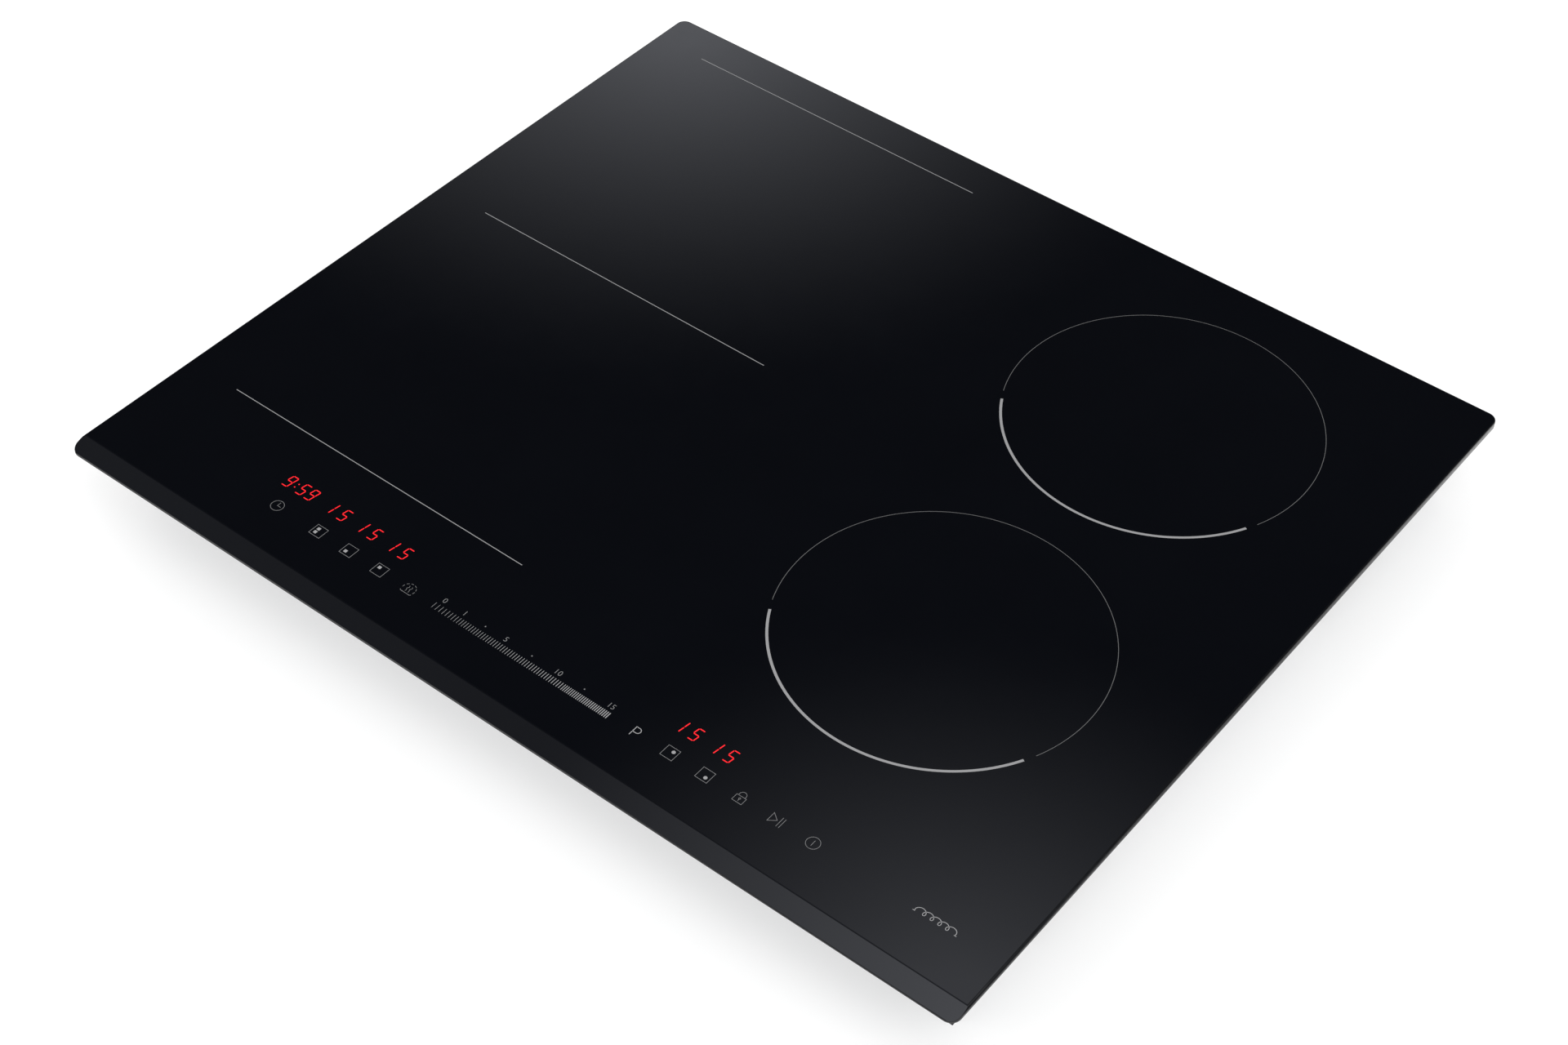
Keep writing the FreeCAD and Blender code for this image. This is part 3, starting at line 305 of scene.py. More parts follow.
def foam():
    """Closed-cell sealing foam with open surface pores."""
    f = Finish("foam_seal").fixed(IOR=1.4)
    pores = f.cells(0.9, output="Distance")
    f.colour(f.blend(pores, (0.012, 0.012, 0.013), (0.040, 0.040, 0.042)))
    f.roughness(f.spread(f.noise(5), 0.78, 0.95))
    f.bump(f.sum(pores, f.noise(7), 0.8), 0.25, 0.6)
    return f.material


def silicone():
    """Cured black silicone, smooth and slightly lumpy."""
    f = Finish("silicone").fixed(IOR=1.41)
    lumps = f.noise(5, detail=2)
    f.colour(f.blend(lumps, (0.014, 0.014, 0.015), (0.026, 0.026, 0.028)))
    f.roughness(f.spread(lumps, 0.34, 0.52))
    f.bump(lumps, 0.2, 0.5)
    return f.material


def grained(name, dark, light, size, rough, metallic=0.0, depth=0.05):
    """A granular or flaky solid, such as ferrite, mica or cut foam."""
    f = Finish(name).fixed(Metallic=metallic)
    grain = f.cells(size, output="Distance")
    cloud = f.noise(size * 12, detail=4)
    f.colour(f.blend(f.sum(f.spread(cloud, -0.1, 0.4), grain, 0.7), dark, light))
    f.roughness(f.spread(cloud, rough - 0.08, rough + 0.08, 0.3, 0.7))
    f.bump(grain, depth, 0.4)
    return f.material


def stranded(name, dark, light, pitch, axis, metallic):
    """Twisted strands: fine bands with a lacquer sheen."""
    f = Finish(name).fixed(Metallic=metallic, Coat_Weight=0.3, Coat_Roughness=0.25)
    strand = f.bands(pitch, axis, distortion=1.5)
    f.colour(f.blend(strand, dark, light))
    f.roughness(f.spread(f.noise(3), 0.30, 0.45))
    f.bump(strand, 0.12, 0.6)
    return f.material


def circuit_board():
    """Green solder mask over copper traces, with tinned pads."""
    f = Finish("green_board").fixed(IOR=1.5)
    across = f.bands(3.2, "X", distortion=4.0)
    along = f.bands(4.6, "Y", distortion=4.0)
    traces = f.spread(f.sum(across, along, 0.7), 0, 1, 0.75, 0.95)
    mask = f.blend(traces, (0.006, 0.075, 0.028), (0.015, 0.135, 0.050))
    pads = f.spread(f.cells(5.5, output="Distance"), 1, 0, 0.10, 0.14)
    f.colour(f.blend(pads, mask, (0.52, 0.53, 0.54)))
    f.roughness(f.spread(f.noise(10), 0.28, 0.42))
    f.bump(f.sum(traces, pads, 0.6), 0.05, 0.5)
    return f.material


def node_finishes():
    """Slot name of the record to its material."""
    return {
        "foam_seal": foam(),
        "silicone": silicone(),
        "galvanised_sheet": galvanised(),
        "zinc_screws": plated("zinc_screws", (0.48, 0.50, 0.52), (0.66, 0.68, 0.70), 0.30),
        "clamp_steel": plated("clamp_steel", (0.42, 0.43, 0.44), (0.62, 0.62, 0.61), 0.36),
        "spring_steel": plated("spring_steel", (0.30, 0.30, 0.31), (0.48, 0.48, 0.49), 0.34),
        "terminal_brass": plated("terminal_brass", (0.55, 0.40, 0.16), (0.74, 0.56, 0.27), 0.30),
        "deck_aluminium": brushed("deck_aluminium", (0.58, 0.59, 0.60), (0.78, 0.79, 0.80), (0.04, 1, 1)),
        "sink_aluminium": brushed("sink_aluminium", (0.62, 0.63, 0.64), (0.82, 0.83, 0.84), (1, 0.04, 1)),
        "post_plastic": moulded("post_plastic", (0.42, 0.41, 0.38), (0.54, 0.53, 0.50), 0.5),
        "carrier_plastic": moulded("carrier_plastic", (0.030, 0.031, 0.033), (0.050, 0.051, 0.054), 0.5),
        "sensor_plastic": moulded("sensor_plastic", (0.50, 0.49, 0.46), (0.64, 0.63, 0.60), 0.45),
        "terminal_plastic": moulded("terminal_plastic", (0.016, 0.016, 0.018), (0.030, 0.030, 0.033), 0.46,
                                    worn=(0.07, 0.07, 0.075)),
        "block_plastic": moulded("block_plastic", (0.46, 0.45, 0.42), (0.60, 0.59, 0.56), 0.42),
        "clamp_plastic": moulded("clamp_plastic", (0.020, 0.020, 0.021), (0.036, 0.036, 0.038), 0.5),
        "bracket_plastic": moulded("bracket_plastic", (0.022, 0.022, 0.024), (0.038, 0.038, 0.041), 0.5,
                                   worn=(0.08, 0.08, 0.085)),
        "fan_plastic": moulded("fan_plastic", (0.013, 0.013, 0.014), (0.026, 0.026, 0.028), 0.42),
        "chip_black": moulded("chip_black", (0.010, 0.010, 0.011), (0.022, 0.022, 0.023), 0.55, grain=0.3),
        "capacitor_plastic": moulded("capacitor_plastic", (0.36, 0.20, 0.035), (0.46, 0.27, 0.06), 0.38),
        "display_resin": moulded("display_resin", (0.34, 0.34, 0.34), (0.46, 0.46, 0.46), 0.35),
        "wire_insulation": moulded("wire_insulation", (0.60, 0.60, 0.58), (0.74, 0.74, 0.72), 0.40),
        "ferrite": grained("ferrite", (0.016, 0.016, 0.018), (0.055, 0.055, 0.060), 0.6, 0.55),
        "mica": grained("mica", (0.30, 0.27, 0.20), (0.56, 0.52, 0.42), 3.0, 0.35),
        "conductive_foam": grained("conductive_foam", (0.012, 0.012, 0.012), (0.035, 0.035, 0.035), 0.5, 0.9),
        "litz_copper": stranded("litz_copper", (0.42, 0.16, 0.07), (0.80, 0.40, 0.22), 0.7, "DIAGONAL", 0.85),
        "choke_winding": stranded("choke_winding", (0.36, 0.12, 0.05), (0.72, 0.33, 0.17), 1.4, "X", 0.85),
        "green_board": circuit_board(),
    }


def record_slots():
    """Node name to the slot name that the record gives it."""
    return {part["node"]: part["material_slot"] for part in frame["record"]["subparts"]}


def dress_nodes():
    """Gives every CAD node that stays in view its finish."""
    finishes = node_finishes()
    slots = record_slots()
    for name, obj in frame["nodes"].items():
        material = finishes.get(slots.get(name))
        if material is None:
            continue
        obj.data.materials.clear()
        obj.data.materials.append(material)


# ---------------------------------------------------------------- glass


def rounded_outline(inset):
    """Points of the panel's outline, counter-clockwise, moved inward by inset."""
    radius = CORNER_RADIUS - inset
    corners = (
        (RIGHT - CORNER_RADIUS, FRONT + CORNER_RADIUS, -90),
        (RIGHT - CORNER_RADIUS, REAR - CORNER_RADIUS, 0),
        (LEFT + CORNER_RADIUS, REAR - CORNER_RADIUS, 90),
        (LEFT + CORNER_RADIUS, FRONT + CORNER_RADIUS, 180),
    )
    points = []
    for x, y, start in corners:
        for step in range(CORNER_STEPS + 1):
            angle = math.radians(start + 90 * step / CORNER_STEPS)
            points.append((x + radius * math.cos(angle), y + radius * math.sin(angle)))
    return points


def edge_profile():
    """Inset and height of the panel's edge from its underside to its top, both arrises rounded."""
    lower = []
    for angle in (0, math.pi / 6, math.pi / 3):
        rise = LOWER_SEAM * (1 - math.cos(angle))
        lower.append((LOWER_SEAM * (1 - math.sin(angle)), GLASS_LOW.z + rise))
    lower.append((0.0, GLASS_LOW.z + LOWER_SEAM))
    upper = []
    for step in range(UPPER_SEAM_STEPS + 1):
        angle = math.pi / 2 * step / UPPER_SEAM_STEPS
        drop = UPPER_SEAM * (1 - math.sin(angle))
        upper.append((UPPER_SEAM * (1 - math.cos(angle)), GLASS_TOP - drop))
    return lower + upper


def cut(mesh, point, normal, material):
    """Removes what lies outside a plane and closes the cut with one face."""
    geometry = mesh.verts[:] + mesh.edges[:] + mesh.faces[:]
    result = bmesh.ops.bisect_plane(mesh, geom=geometry, dist=1e-7, plane_co=point, plane_no=normal,
                                    clear_outer=True)
    edges = [item for item in result["geom_cut"] if isinstance(item, bmesh.types.BMEdge)]
    faces = bmesh.ops.contextual_create(mesh, geom=edges)["faces"]
    for face in faces:
        face.material_index = material
        face.smooth = False
        if face.normal.dot(normal) < 0:
            face.normal_flip()


def glass_panel():
    """The panel with seamed edges and the long bevel along its front."""
    mesh = bmesh.new()
    rings = []
    for inset, height in edge_profile():
        rings.append([mesh.verts.new((x * MM, y * MM, height * MM)) for x, y in rounded_outline(inset)])
    for low, high in zip(rings, rings[1:]):
        for i in range(len(low)):
            j = (i + 1) % len(low)
            face = mesh.faces.new((low[i], low[j], high[j], high[i]))
            face.smooth = True
            face.material_index = 1
    mesh.faces.new(rings[-1])
    mesh.faces.new(list(reversed(rings[0])))
    mesh.normal_update()
    slope = math.atan2(BEVEL_DROP, BEVEL_RUN)
    ridge = Vector((0, FRONT + BEVEL_RUN, GLASS_TOP)) * MM
    tilted = Vector((0, -math.sin(slope), math.cos(slope)))
    half = Vector((0, -math.sin(slope / 2), math.cos(slope / 2)))
    cut(mesh, ridge, tilted, 0)
    cut(mesh, ridge - half * RIDGE_EASE * MM, half, 0)
    lip = Vector((0, FRONT, GLASS_TOP - BEVEL_DROP)) * MM
    for share in LIP_SEAM_SHARES:
        tilt = slope + (math.pi / 2 - slope) * share
        normal = Vector((0, -math.sin(tilt), math.cos(tilt)))
        cut(mesh, lip - normal * LIP_SEAM * MM, normal, 1)
    panel = bpy.data.meshes.new("glass_panel_seamed")
    mesh.to_mesh(panel)
    mesh.free()
    obj = add_object("glass_panel_seamed", panel, black_glass())
    obj.data.materials.append(ground_glass())
    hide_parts("ceramic_glass_panel")


# ---------------------------------------------------------------- flat printed shapes


def add_object(name, mesh, material):
    """An object of this mesh that rides the cooktop's body."""
    mesh.materials.append(material)
    obj = bpy.data.objects.new(name, mesh)
    bpy.context.scene.collection.objects.link(obj)
    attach(obj, HOB)
    return obj


def area(points):
    """One filled outline, counter-clockwise."""
    return [tuple(point) for point in points], [list(range(len(points)))]


def line(points, width, closed=False):
    """A line of constant width through the points, with mitred corners."""
    count = len(points)
    path = [Vector(point) for point in points]
    sides = []
    for i, point in enumerate(path):
        before = path[i - 1] if closed or i > 0 else None
        after = path[(i + 1) % count] if closed or i < count - 1 else None
        into = (point - before).normalized() if before is not None else (after - point).normalized()
        out = (after - point).normalized() if after is not None else into
        bisector = (into + out).normalized()
        reach = width / 2 / max(0.3, bisector.dot(into))
        sides.append(Vector((-bisector.y, bisector.x)) * reach)
    verts = [tuple(p - s) for p, s in zip(path, sides)] + [tuple(p + s) for p, s in zip(path, sides)]
    last = count if closed else count - 1
    faces = [[i, (i + 1) % count, count + (i + 1) % count, count + i] for i in range(last)]
    return verts, faces


def arc(x, y, radius, start, end, steps):
    """Points on an arc, angles in degrees."""
    angles = [math.radians(start + (end - start) * i / steps) for i in range(steps + 1)]
    return [(x + radius * math.cos(a), y + radius * math.sin(a)) for a in angles]


def ring(x, y, radius, width, steps=48):
    """A closed circle of line."""
    return line(arc(x, y, radius, 0, 360, steps)[:-1], width, closed=True)


def disc(x, y, radius, steps=24):
    return area(arc(x, y, radius, 0, 360, steps)[:-1])


def rectangle(x, y, wide, tall):
    """Corners of an upright rectangle around its middle."""
    return [(x - wide / 2, y - tall / 2), (x + wide / 2, y - tall / 2),
            (x + wide / 2, y + tall / 2), (x - wide / 2, y + tall / 2)]


def layer(name, shapes, material, rise=PRINT_RISE):
    """Shapes as one thin layer that stands on the glass, closed all round."""
    verts, faces = [], []
    high, low = (GLASS_TOP + rise) * MM, (GLASS_TOP - PRINT_SINK) * MM
    for points, polygons in shapes:
        start, count = len(verts), len(points)
        verts += [(x * MM, y * MM, high) for x, y in points]
        verts += [(x * MM, y * MM, low) for x, y in points]
        rims = set()
        for polygon in polygons:
            faces.append([start + i for i in polygon])
            faces.append([start + count + i for i in reversed(polygon)])
            rims.update(zip(polygon, polygon[1:] + polygon[:1]))
        for a, b in sorted(rims):
            if (b, a) not in rims:
                faces.append([start + a, start + count + a, start + count + b, start + b])
    mesh = bpy.data.meshes.new(name)
    mesh.from_pydata(verts, [], faces)
    mesh.validate()
    return add_object(name, mesh, material)


# ---------------------------------------------------------------- cooking zones

ZONE_LINE = 0.47
FLEX_LEFT_GAP = 37.0
FLEX_LENGTH = 211.5
FLEX_REAR_GAP = 26.6
FLEX_PITCH = 202.35

RING_RADIUS = 90.0
RING_LINE = 0.30
ARC_RADIUS = 89.7
ARC_LINE = 1.5
RING_END = 23.2
ARC_END = 27.6


def flex_zone(ink):
    """Three lines that bound and halve the bridged pair of coils on the left."""
    start = LEFT + FLEX_LEFT_GAP
    shapes = []
    for i in range(3):
        y = REAR - FLEX_REAR_GAP - FLEX_PITCH * i
        shapes.append(line([(start, y), (start + FLEX_LENGTH, y)], ZONE_LINE))
    layer("flex_zone_lines", shapes, ink)


def round_zone(place, fine_ink, heavy_ink):
    """A fine ring, open at the front, closed there by a heavier arc."""
    x, y = centre(f"coil_winding_{place}")
    fine = line(arc(x, y, RING_RADIUS, -RING_END, 180 + RING_END, 96), RING_LINE)
    heavy = line(arc(x, y, ARC_RADIUS, 180 + ARC_END, 360 - ARC_END, 72), ARC_LINE)
    layer(f"ring_{place}", [fine], fine_ink)
    layer(f"arc_{place}", [heavy], heavy_ink)


# ---------------------------------------------------------------- seven-segment displays

DIGIT_TALL = 8.9
DIGIT_WIDE = 4.3
STROKE = 0.63
SEGMENT_GAP = 0.12
SLANT = math.tan(math.radians(8.5))
SEGMENTS = {"1": "bc", "5": "acdfg", "9": "abcdfg"}
DISPLAY_LEFT_Y = FRONT + 56.1
DISPLAY_RIGHT_Y = FRONT + 57.0
TIMER_DIGITS = (("9", -183.4), ("5", -173.4), ("9", -167.0))
TIMER_COLON = ((-178.1, 1.35), (-178.6, -1.6))
LEFT_LEVELS = (-142.9, -120.7, -98.6)
RIGHT_LEVELS = (97.2, 119.3)
ONE_OFFSET = -9.5
COLON_DOT = 0.42


def segment(start, end):
    """A bar with pointed ends between two corners of the digit."""
    a, b = Vector(start), Vector(end)
    along = (b - a).normalized()
    across = Vector((-along.y, along.x)) * STROKE / 2
    tip = along * SEGMENT_GAP
    shoulder = along * (SEGMENT_GAP + STROKE / 2)
    return [a + tip, a + shoulder - across, b - shoulder - across, b - tip,
            b - shoulder + across, a + shoulder + across]


def digit(character, x, y):
    """The lit segments of one slanted digit around its middle."""
    w, h = (DIGIT_WIDE - STROKE) / 2, (DIGIT_TALL - STROKE) / 2
    ends = {"a": ((-w, h), (w, h)), "b": ((w, 0), (w, h)), "c": ((w, -h), (w, 0)),
            "d": ((-w, -h), (w, -h)), "e": ((-w, -h), (-w, 0)), "f": ((-w, 0), (-w, h)),
            "g": ((-w, 0), (w, 0))}
    shapes = []
    for name in SEGMENTS[character]:
        outline = segment(*ends[name])
        shapes.append(area([(x + p.x + p.y * SLANT, y + p.y) for p in outline]))
    return shapes


def displays(light):
    """The timer and the power level of each zone."""
    timer = []
    for character, x in TIMER_DIGITS:
        timer += digit(character, x, DISPLAY_LEFT_Y)
    for x, rise in TIMER_COLON:
        timer.append(disc(x, DISPLAY_LEFT_Y + rise, COLON_DOT, 12))
    layer("display_timer", timer, light, GLOW_RISE)
    levels = []
    for x in LEFT_LEVELS:
        levels += digit("1", x + ONE_OFFSET, DISPLAY_LEFT_Y) + digit("5", x, DISPLAY_LEFT_Y)
    layer("display_levels_left", levels, light, GLOW_RISE)
    levels = []
    for x in RIGHT_LEVELS:
        levels += digit("1", x + ONE_OFFSET, DISPLAY_RIGHT_Y) + digit("5", x, DISPLAY_RIGHT_Y)
    layer("display_levels_right", levels, light, GLOW_RISE)


# ---------------------------------------------------------------- control marks

ICON_LINE = 0.24
ICON_SIZE = 7.6
LETTER_STEM = 0.46
LETTER_BOWL = 0.42
COIL_LINE = 0.36
COIL_START = 244.5
COIL_TURNS = 5
COIL_PITCH = 4.4
COIL_RADIUS = 1.7
COIL_LEAD = 1.6
COIL_STEPS = 16
ICON_Y = FRONT + 39.5
LEFT_KEYS = ((-145.2, ((-1.1, 1.35), (-1.1, -1.35))), (-123.0, ((-1.2, -1.3),)), (-100.9, ((-1.3, 1.4),)))
RIGHT_KEYS = ((94.7, (1.1, 1.3)), (116.8, (1.2, -1.3)))
CLOCK_X = -175.5
WARM_X = -79.8
BOOST_X = 71.3
LOCK_X = 139.0
PAUSE_X = 157.4
POWER_X = 183.1
LEFT_KEYS_Y = ICON_Y - 0.5
RIGHT_KEYS_Y = ICON_Y + 0.4
SPOT_SIDE = 1.9
SPOT_RADIUS = 1.05


def clock_key():
    """A clock face with two hands."""
    x, y = CLOCK_X, ICON_Y - 0.7
    hands = [(x, y + 2.6), (x, y), (x + 2.3, y)]
    return [ring(x, y, ICON_SIZE / 2 - ICON_LINE / 2, ICON_LINE), line(hands, ICON_LINE)]


def zone_keys():
    """A square for each zone."""
    side = ICON_SIZE - ICON_LINE
    places = [(x, LEFT_KEYS_Y) for x, _ in LEFT_KEYS] + [(x, RIGHT_KEYS_Y) for x, _ in RIGHT_KEYS]
    return [line(rectangle(x, y, side, side), ICON_LINE, closed=True) for x, y in places]


def zone_spots():
    """A mark in each zone's square where that zone lies."""
    shapes = []
    for x, marks in LEFT_KEYS:
        shapes += [area(rectangle(x + dx, LEFT_KEYS_Y + dy, SPOT_SIDE, SPOT_SIDE)) for dx, dy in marks]
    for x, (dx, dy) in RIGHT_KEYS:
        shapes.append(disc(x + dx, RIGHT_KEYS_Y + dy, SPOT_RADIUS))
    return shapes


def warm_key():
    """A dashed dome over a tray with two wisps of steam."""
    x, y = WARM_X, ICON_Y - 0.9
    shapes = []
    for start in range(-20, 200, 37):
        shapes.append(line(arc(x, y + 0.1, 3.9, start, start + 22, 6), ICON_LINE))
    tray = [(x - 3.7, y - 2.3), (x - 3.1, y - 2.9), (x + 3.1, y - 2.9), (x + 3.7, y - 2.3)]
    shapes.append(line(tray, ICON_LINE))
    for offset in (-1.0, 0.9):
        wisp = [(x + offset + 0.35 * math.sin(t * 1.25), y - 1.8 + 0.5 * t) for t in range(9)]
        shapes.append(line(wisp, ICON_LINE * 0.9))
    return shapes


def boost_key():
    """The letter P of the highest level."""
    x, y = BOOST_X, ICON_Y - 3.3
    bowl = [(x, y + 6.2), (x + 2.0, y + 6.2)]
    bowl += arc(x + 2.0, y + 4.45, 1.75, 90, -90, 12)[1:] + [(x, y + 2.7)]
    return [line([(x, y), (x, y + 6.5)], LETTER_STEM), line(bowl, LETTER_BOWL)]


def lock_key():
    """A closed padlock."""
    x, y = LOCK_X, ICON_Y - 0.9
    body = line(rectangle(x, y, 5.8, 4.2), ICON_LINE, closed=True)
    shackle = [(x - 2.0, y + 2.1), (x - 2.0, y + 3.0)]
    shackle += arc(x, y + 3.0, 2.0, 180, 0, 14)[1:-1] + [(x + 2.0, y + 3.0), (x + 2.0, y + 2.1)]
    hole = [ring(x, y + 0.5, 0.5, ICON_LINE, 16), line([(x, y), (x, y - 1.2)], ICON_LINE)]
    return [body, line(shackle, ICON_LINE)] + hole


def pause_key():
    """A triangle and two bars."""
    x, y = PAUSE_X, ICON_Y + 0.5
    triangle = [(x, y - 3.0), (x + 4.0, y), (x, y + 3.0)]
    bars = [line([(x + dx, y - 3.2), (x + dx, y + 3.2)], ICON_LINE) for dx in (5.5, 7.1)]
    return [line(triangle, ICON_LINE, closed=True)] + bars


def power_key():
    """A ring round one upright bar."""
    x, y = POWER_X, ICON_Y + 0.6
    bar = line([(x, y - 1.9), (x, y + 1.9)], ICON_LINE)
    return [ring(x, y, ICON_SIZE / 2 - ICON_LINE / 2, ICON_LINE), bar]


def coil_mark():
    """Loops of an induction coil, in place of lettering."""
    y = FRONT + 40.5
    points = []
    for i in range(COIL_TURNS * COIL_STEPS + 1):
        angle = 2 * math.pi * i / COIL_STEPS
        along = COIL_START + COIL_PITCH * angle / (2 * math.pi)
        points.append((along - COIL_RADIUS * math.sin(angle), y - COIL_RADIUS * math.cos(angle)))
    foot = y - COIL_RADIUS
    points = [(COIL_START - COIL_LEAD, foot)] + points + [(points[-1][0] + COIL_LEAD, foot)]
    return [line([first, second], COIL_LINE) for first, second in zip(points, points[1:])]


SLIDER_START = -62.2
SLIDER_END = 55.3
SLIDER_Y = FRONT + 38.8
TICK_TALL = 4.2
LABEL_Y = FRONT + 44.5
LABEL_SIZE = 4.9
LABEL_THINNING = 0.06
LABELS = (("0", -59.7), ("1", -45.8), ("5", -17.6), ("10", 17.7), ("15", 52.8))
LABEL_DOTS = (-31.7, 0.0, 35.1)


def tick_pitch(share):
    """Distance to the next tick at a share of the slider's length."""
    if share < 0.16:
        return max(1.22, 2.5 - 5.0 * share)
    if share < 0.74:
        return 1.7 - 0.12 * share
    return 1.23


def slider_ticks():
    """Ticks that crowd together and grow thicker towards full power."""
    shapes = []
    x = SLIDER_START
    while x < SLIDER_END + 0.5:
        share = (x - SLIDER_START) / (SLIDER_END - SLIDER_START)
        width = 0.16 + 0.16 * share + 0.20 * share ** 3
        shapes.append(area(rectangle(x, SLIDER_Y, width, TICK_TALL)))
        x += tick_pitch(share)
    return shapes


def slider_labels(ink):
    """Numbers and dots above the slider, in the plain built-in typeface."""
    for text, x in LABELS:
        curve = bpy.data.curves.new(f"label_{text}", "FONT")
        curve.body = text
        curve.size = LABEL_SIZE * MM
        curve.offset = -LABEL_THINNING * MM
        curve.align_x = "CENTER"
        curve.align_y = "CENTER"
        curve.extrude = (PRINT_RISE + PRINT_SINK) / 2 * MM
        curve.resolution_u = 3
        source = bpy.data.objects.new(curve.name, curve)
        mesh = bpy.data.meshes.new_from_object(source)
        middle = (PRINT_RISE - PRINT_SINK) / 2
        for vertex in mesh.vertices:
            vertex.co += Vector((x, LABEL_Y, GLASS_TOP + middle)) * MM
        mesh.name = f"slider_label_{text}"
        bpy.data.objects.remove(source)
        mesh.materials.clear()
        add_object(mesh.name, mesh, ink)
    layer("slider_label_dots", [disc(x, LABEL_Y, 0.4, 12) for x in LABEL_DOTS], ink)


# ---------------------------------------------------------------- studio

FLOOR_HALF = 9.0
FLOOR_DROP = 0.0002
FLOOR_GLOW = 0.48
ROOM_GLOW = 0.022
HORIZON_GLOW = 0.50
HORIZON_TOP = 0.45
LOWEST_RISE = 0.05
# A soft box: its run to the right and to the rear, its reach, its even core, its power, and how much
# of its run away from the zenith counts.
SOFT_BOXES = ((-0.914, 1.103, 0.345, 0.024, 1.27, 0.15), (-0.3505, 0.6065, 0.239, 0.021, 0.86, 1.0))
BOX_FALLOFF = 1.9
FRONT_FILL = 0.18
FRONT_RISE = 1.22
FRONT_START = -0.505
FRONT_WIDTH = 0.192
FRONT_CURVE = 1.25
FRONT_CAP = 1.6
GLOSS_TINT = (0.97, 0.995, 1.08, 1.0)
WHITE = (1.0, 1.0, 1.0, 1.0)
CAMERA_AIM = (39.2, -59.5)
CAMERA_DISTANCE = 1477.6
CAMERA_AZIMUTH = 36.71
CAMERA_ELEVATION = 45.15
CAMERA_ROLL = 2.11
CAMERA_LENS = 63.93


def camera():
    """The camera looks at a point near the middle of the glass from the front right."""
    azimuth, elevation = math.radians(CAMERA_AZIMUTH), math.radians(CAMERA_ELEVATION)
    back = Vector((math.cos(elevation) * math.sin(azimuth), -math.cos(elevation) * math.cos(azimuth),
                   math.sin(elevation)))
    data = bpy.data.cameras.new("camera")
    data.lens = CAMERA_LENS
    data.sensor_width = 36.0
    data.clip_start = 0.05
    data.clip_end = 100.0
    obj = bpy.data.objects.new("camera", data)
    bpy.context.scene.collection.objects.link(obj)
    obj.location = (Vector((*CAMERA_AIM, GLASS_TOP)) + back * CAMERA_DISTANCE) * MM
    obj.rotation_mode = "QUATERNION"
    roll = Quaternion((0, 0, 1), math.radians(CAMERA_ROLL))
    obj.rotation_quaternion = (-back).to_track_quat("-Z", "Y") @ roll
    bpy.context.scene.camera = obj


def floor():
    """A large pale floor under the cooktop."""
    mesh = bpy.data.meshes.new("studio_floor")
    half = FLOOR_HALF
    mesh.from_pydata([(-half, -half, 0), (half, -half, 0), (half, half, 0), (-half, half, 0)], [],
                     [(0, 1, 2, 3)])
    f = Finish("studio_paper").fixed(Roughness=0.9)
    fibre = f.noise(2.5, detail=4)
    f.colour(f.blend(fibre, (0.50, 0.50, 0.50), (0.52, 0.52, 0.52)))
    f.bump(fibre, 0.02, 0.1)
    f.fixed(Emission_Color=WHITE, Emission_Strength=FLOOR_GLOW)
    mesh.materials.append(f.material)
    obj = bpy.data.objects.new("studio_floor", mesh)
    bpy.context.scene.collection.objects.link(obj)
    obj.location.z = -FLOOR_DROP


def area_light(name, place, size, power):
    """A soft box that looks at the cooktop."""
    data = bpy.data.lights.new(name, "AREA")
    data.shape = "RECTANGLE"
    data.size, data.size_y = size
    data.energy = power
    obj = bpy.data.objects.new(name, data)
    bpy.context.scene.collection.objects.link(obj)
    obj.location = place
    obj.rotation_mode = "QUATERNION"
    obj.rotation_quaternion = (-Vector(place)).to_track_quat("-Z", "Y")


class Sky:
    """Nodes of the studio's surroundings, worked out from the direction of a ray."""

    def __init__(self):
        world = bpy.data.worlds.new("studio")
        world.use_nodes = True
        bpy.context.scene.world = world
        self.nodes = world.node_tree.nodes
        self.links = world.node_tree.links
        self.background = self.nodes["Background"]
        direction = self.nodes.new("ShaderNodeTexCoord").outputs["Generated"]
        split = self.nodes.new("ShaderNodeSeparateXYZ")
        self.links.new(direction, split.inputs[0])
        self.x, self.y, self.z = split.outputs

    def math(self, operation, *values):
        node = self.nodes.new("ShaderNodeMath")
        node.operation = operation
        for socket, value in zip(node.inputs, values):
            if isinstance(value, (int, float)):
                socket.default_value = value
            else:
                self.links.new(value, socket)
        return node.outputs[0]

    def fade(self, value, start, end, low, high):
        """Smooth step from low to high between start and end."""
        node = self.nodes.new("ShaderNodeMapRange")
        node.interpolation_type = "SMOOTHSTEP"
        for socket, number in zip(("From Min", "From Max", "To Min", "To Max"), (start, end, low, high)):
            node.inputs[socket].default_value = number
        self.links.new(value, node.inputs["Value"])
        return node.outputs["Result"]


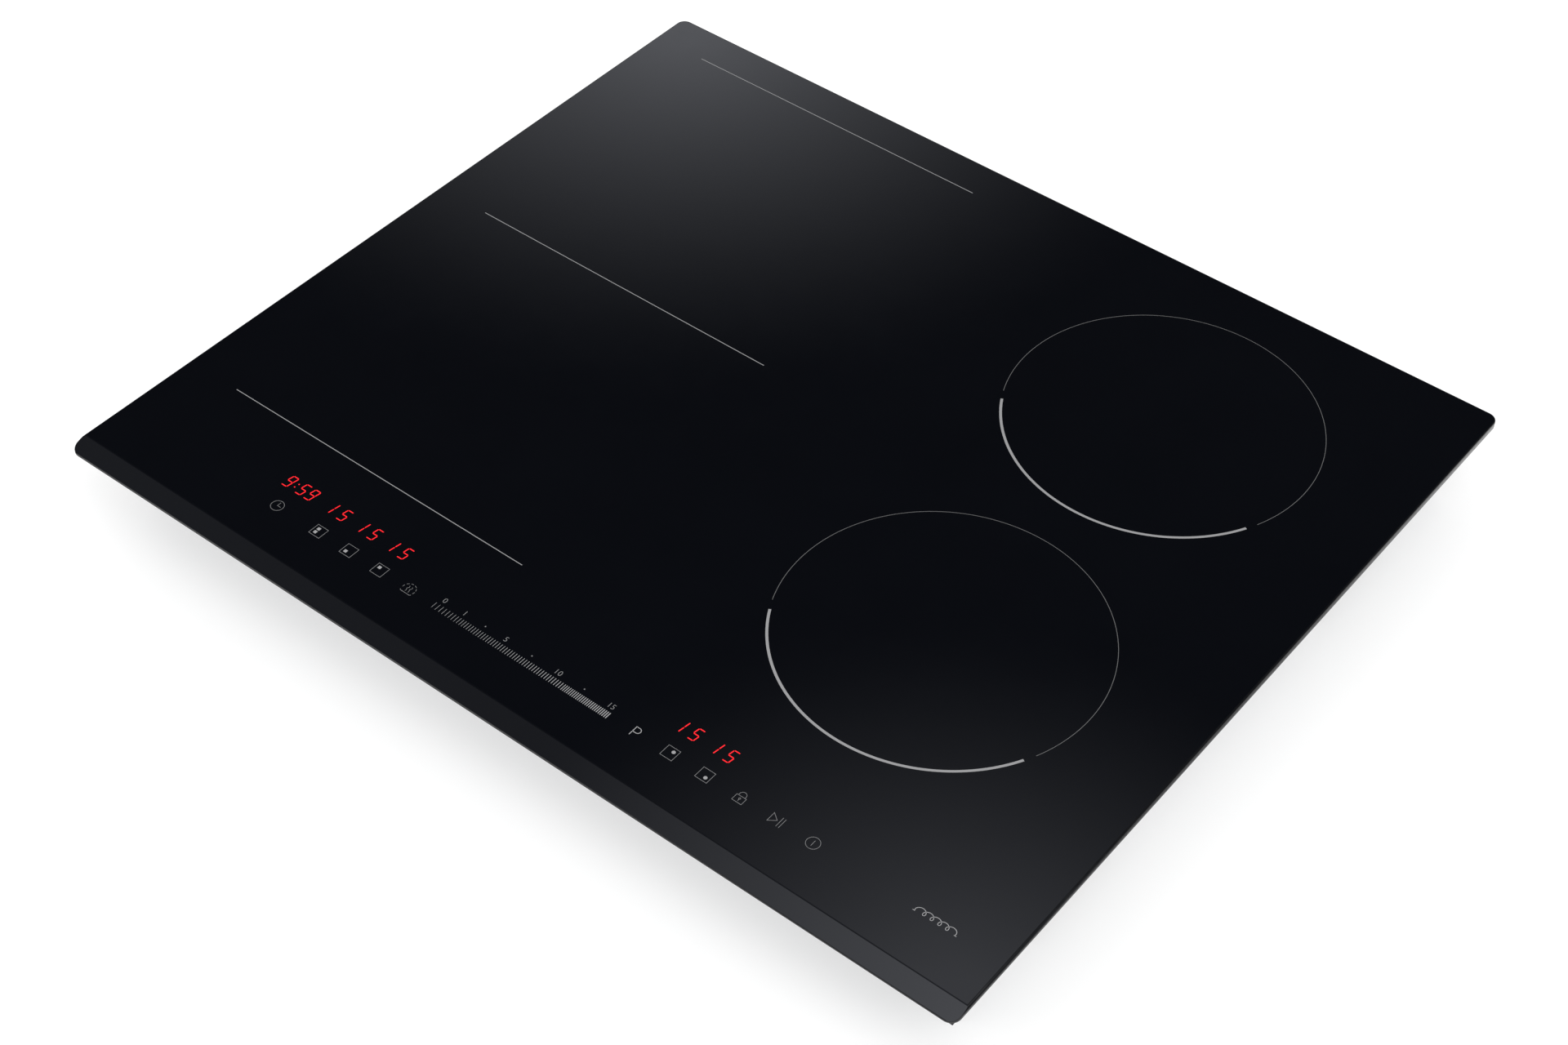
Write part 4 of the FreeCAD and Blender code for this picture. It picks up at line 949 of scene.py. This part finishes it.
def soft_box(sky, over_x, over_y, x, y, reach, core, power, low_stretch):
    """Light of one round soft box, which may be drawn out towards the horizon."""
    run_x = sky.math("SUBTRACT", over_x, x)
    run_y = sky.math("SUBTRACT", over_y, y)
    size = math.hypot(x, y)
    outward = sky.math("ADD", sky.math("MULTIPLY", run_x, x / size), sky.math("MULTIPLY", run_y, y / size))
    across = sky.math("SUBTRACT", sky.math("MULTIPLY", run_x, y / size),
                      sky.math("MULTIPLY", run_y, x / size))
    lowered = sky.math("MULTIPLY", sky.math("MAXIMUM", outward, 0.0), low_stretch)
    along = sky.math("ADD", sky.math("MINIMUM", outward, 0.0), lowered)
    squares = sky.math("ADD", sky.math("MULTIPLY", along, along), sky.math("MULTIPLY", across, across))
    distance = sky.math("SQRT", squares)
    share = sky.math("DIVIDE", sky.math("SUBTRACT", reach, distance), reach - core)
    share = sky.math("MINIMUM", sky.math("MAXIMUM", share, 0.0), 1.0)
    return sky.math("MULTIPLY", sky.math("POWER", share, BOX_FALLOFF), power)


def front_strip(sky, over_x, over_y):
    """Light of the strip in front of the cooktop, brighter towards the right."""
    low = sky.fade(sky.z, 0.60, 0.74, 0.0, 1.0)
    front = sky.math("MULTIPLY", sky.fade(over_y, 0.05, 0.30, 1.0, 0.0), low)
    slope = sky.math("DIVIDE", sky.math("ADD", over_x, -FRONT_START), FRONT_WIDTH)
    slope = sky.math("MAXIMUM", slope, 0.0)
    rise = sky.math("MULTIPLY", sky.math("POWER", slope, FRONT_CURVE), FRONT_RISE)
    strip = sky.math("MINIMUM", sky.math("ADD", FRONT_FILL, rise), FRONT_CAP)
    return sky.math("MULTIPLY", front, strip)


def surroundings():
    """Even white light, with a darker room and round soft boxes where the glass mirrors them.

    over_x and over_y are a direction's run to the right and to the rear for each unit of rise.
    """
    sky = Sky()
    height = sky.math("MAXIMUM", sky.z, LOWEST_RISE)
    over_x = sky.math("DIVIDE", sky.x, height)
    over_y = sky.math("DIVIDE", sky.y, height)
    total = sky.fade(sky.z, 0.0, HORIZON_TOP, HORIZON_GLOW, ROOM_GLOW)
    for box in SOFT_BOXES:
        total = sky.math("ADD", total, soft_box(sky, over_x, over_y, *box))
    total = sky.math("ADD", total, front_strip(sky, over_x, over_y))
    glossy = sky.nodes.new("ShaderNodeLightPath").outputs["Is Glossy Ray"]
    strength = sky.math("ADD", sky.math("MULTIPLY", total, glossy), sky.math("SUBTRACT", 1.0, glossy))
    tint = sky.nodes.new("ShaderNodeMix")
    tint.data_type = "RGBA"
    tint.inputs[6].default_value = WHITE
    tint.inputs[7].default_value = GLOSS_TINT
    sky.links.new(glossy, tint.inputs[0])
    sky.links.new(tint.outputs[2], sky.background.inputs["Color"])
    sky.links.new(strength, sky.background.inputs["Strength"])


def studio():
    """Surroundings, floor, lamps and camera."""
    surroundings()
    floor()
    area_light("key_box", (1.3, -0.9, 2.2), (1.6, 1.6), 26)
    area_light("fill_box", (-1.6, -1.7, 1.5), (1.4, 1.0), 9)
    camera()
    bpy.context.scene.view_settings.view_transform = "Standard"


# ---------------------------------------------------------------- assembly

dress_nodes()
glass_panel()
zone_ink = enamel("zone_enamel", 0.252, 0.03)
ring_ink = enamel("ring_enamel", 0.11, 0.012)
mark_ink = enamel("mark_enamel", 0.28, 0.03)
icon_ink = enamel("icon_enamel", 0.17, 0.02)
flex_zone(zone_ink)
for zone in ("rear_right", "front_right"):
    round_zone(zone, ring_ink, zone_ink)
displays(red_light())
for title, shapes in (("clock", clock_key()), ("zones", zone_keys()), ("keep_warm", warm_key()),
                      ("lock", lock_key()), ("pause", pause_key()), ("power", power_key())):
    layer(f"mark_{title}", shapes, icon_ink)
for title, shapes in (("zone_spots", zone_spots()), ("boost", boost_key()), ("coil", coil_mark()),
                      ("slider", slider_ticks())):
    layer(f"mark_{title}", shapes, mark_ink)
slider_labels(icon_ink)
studio()
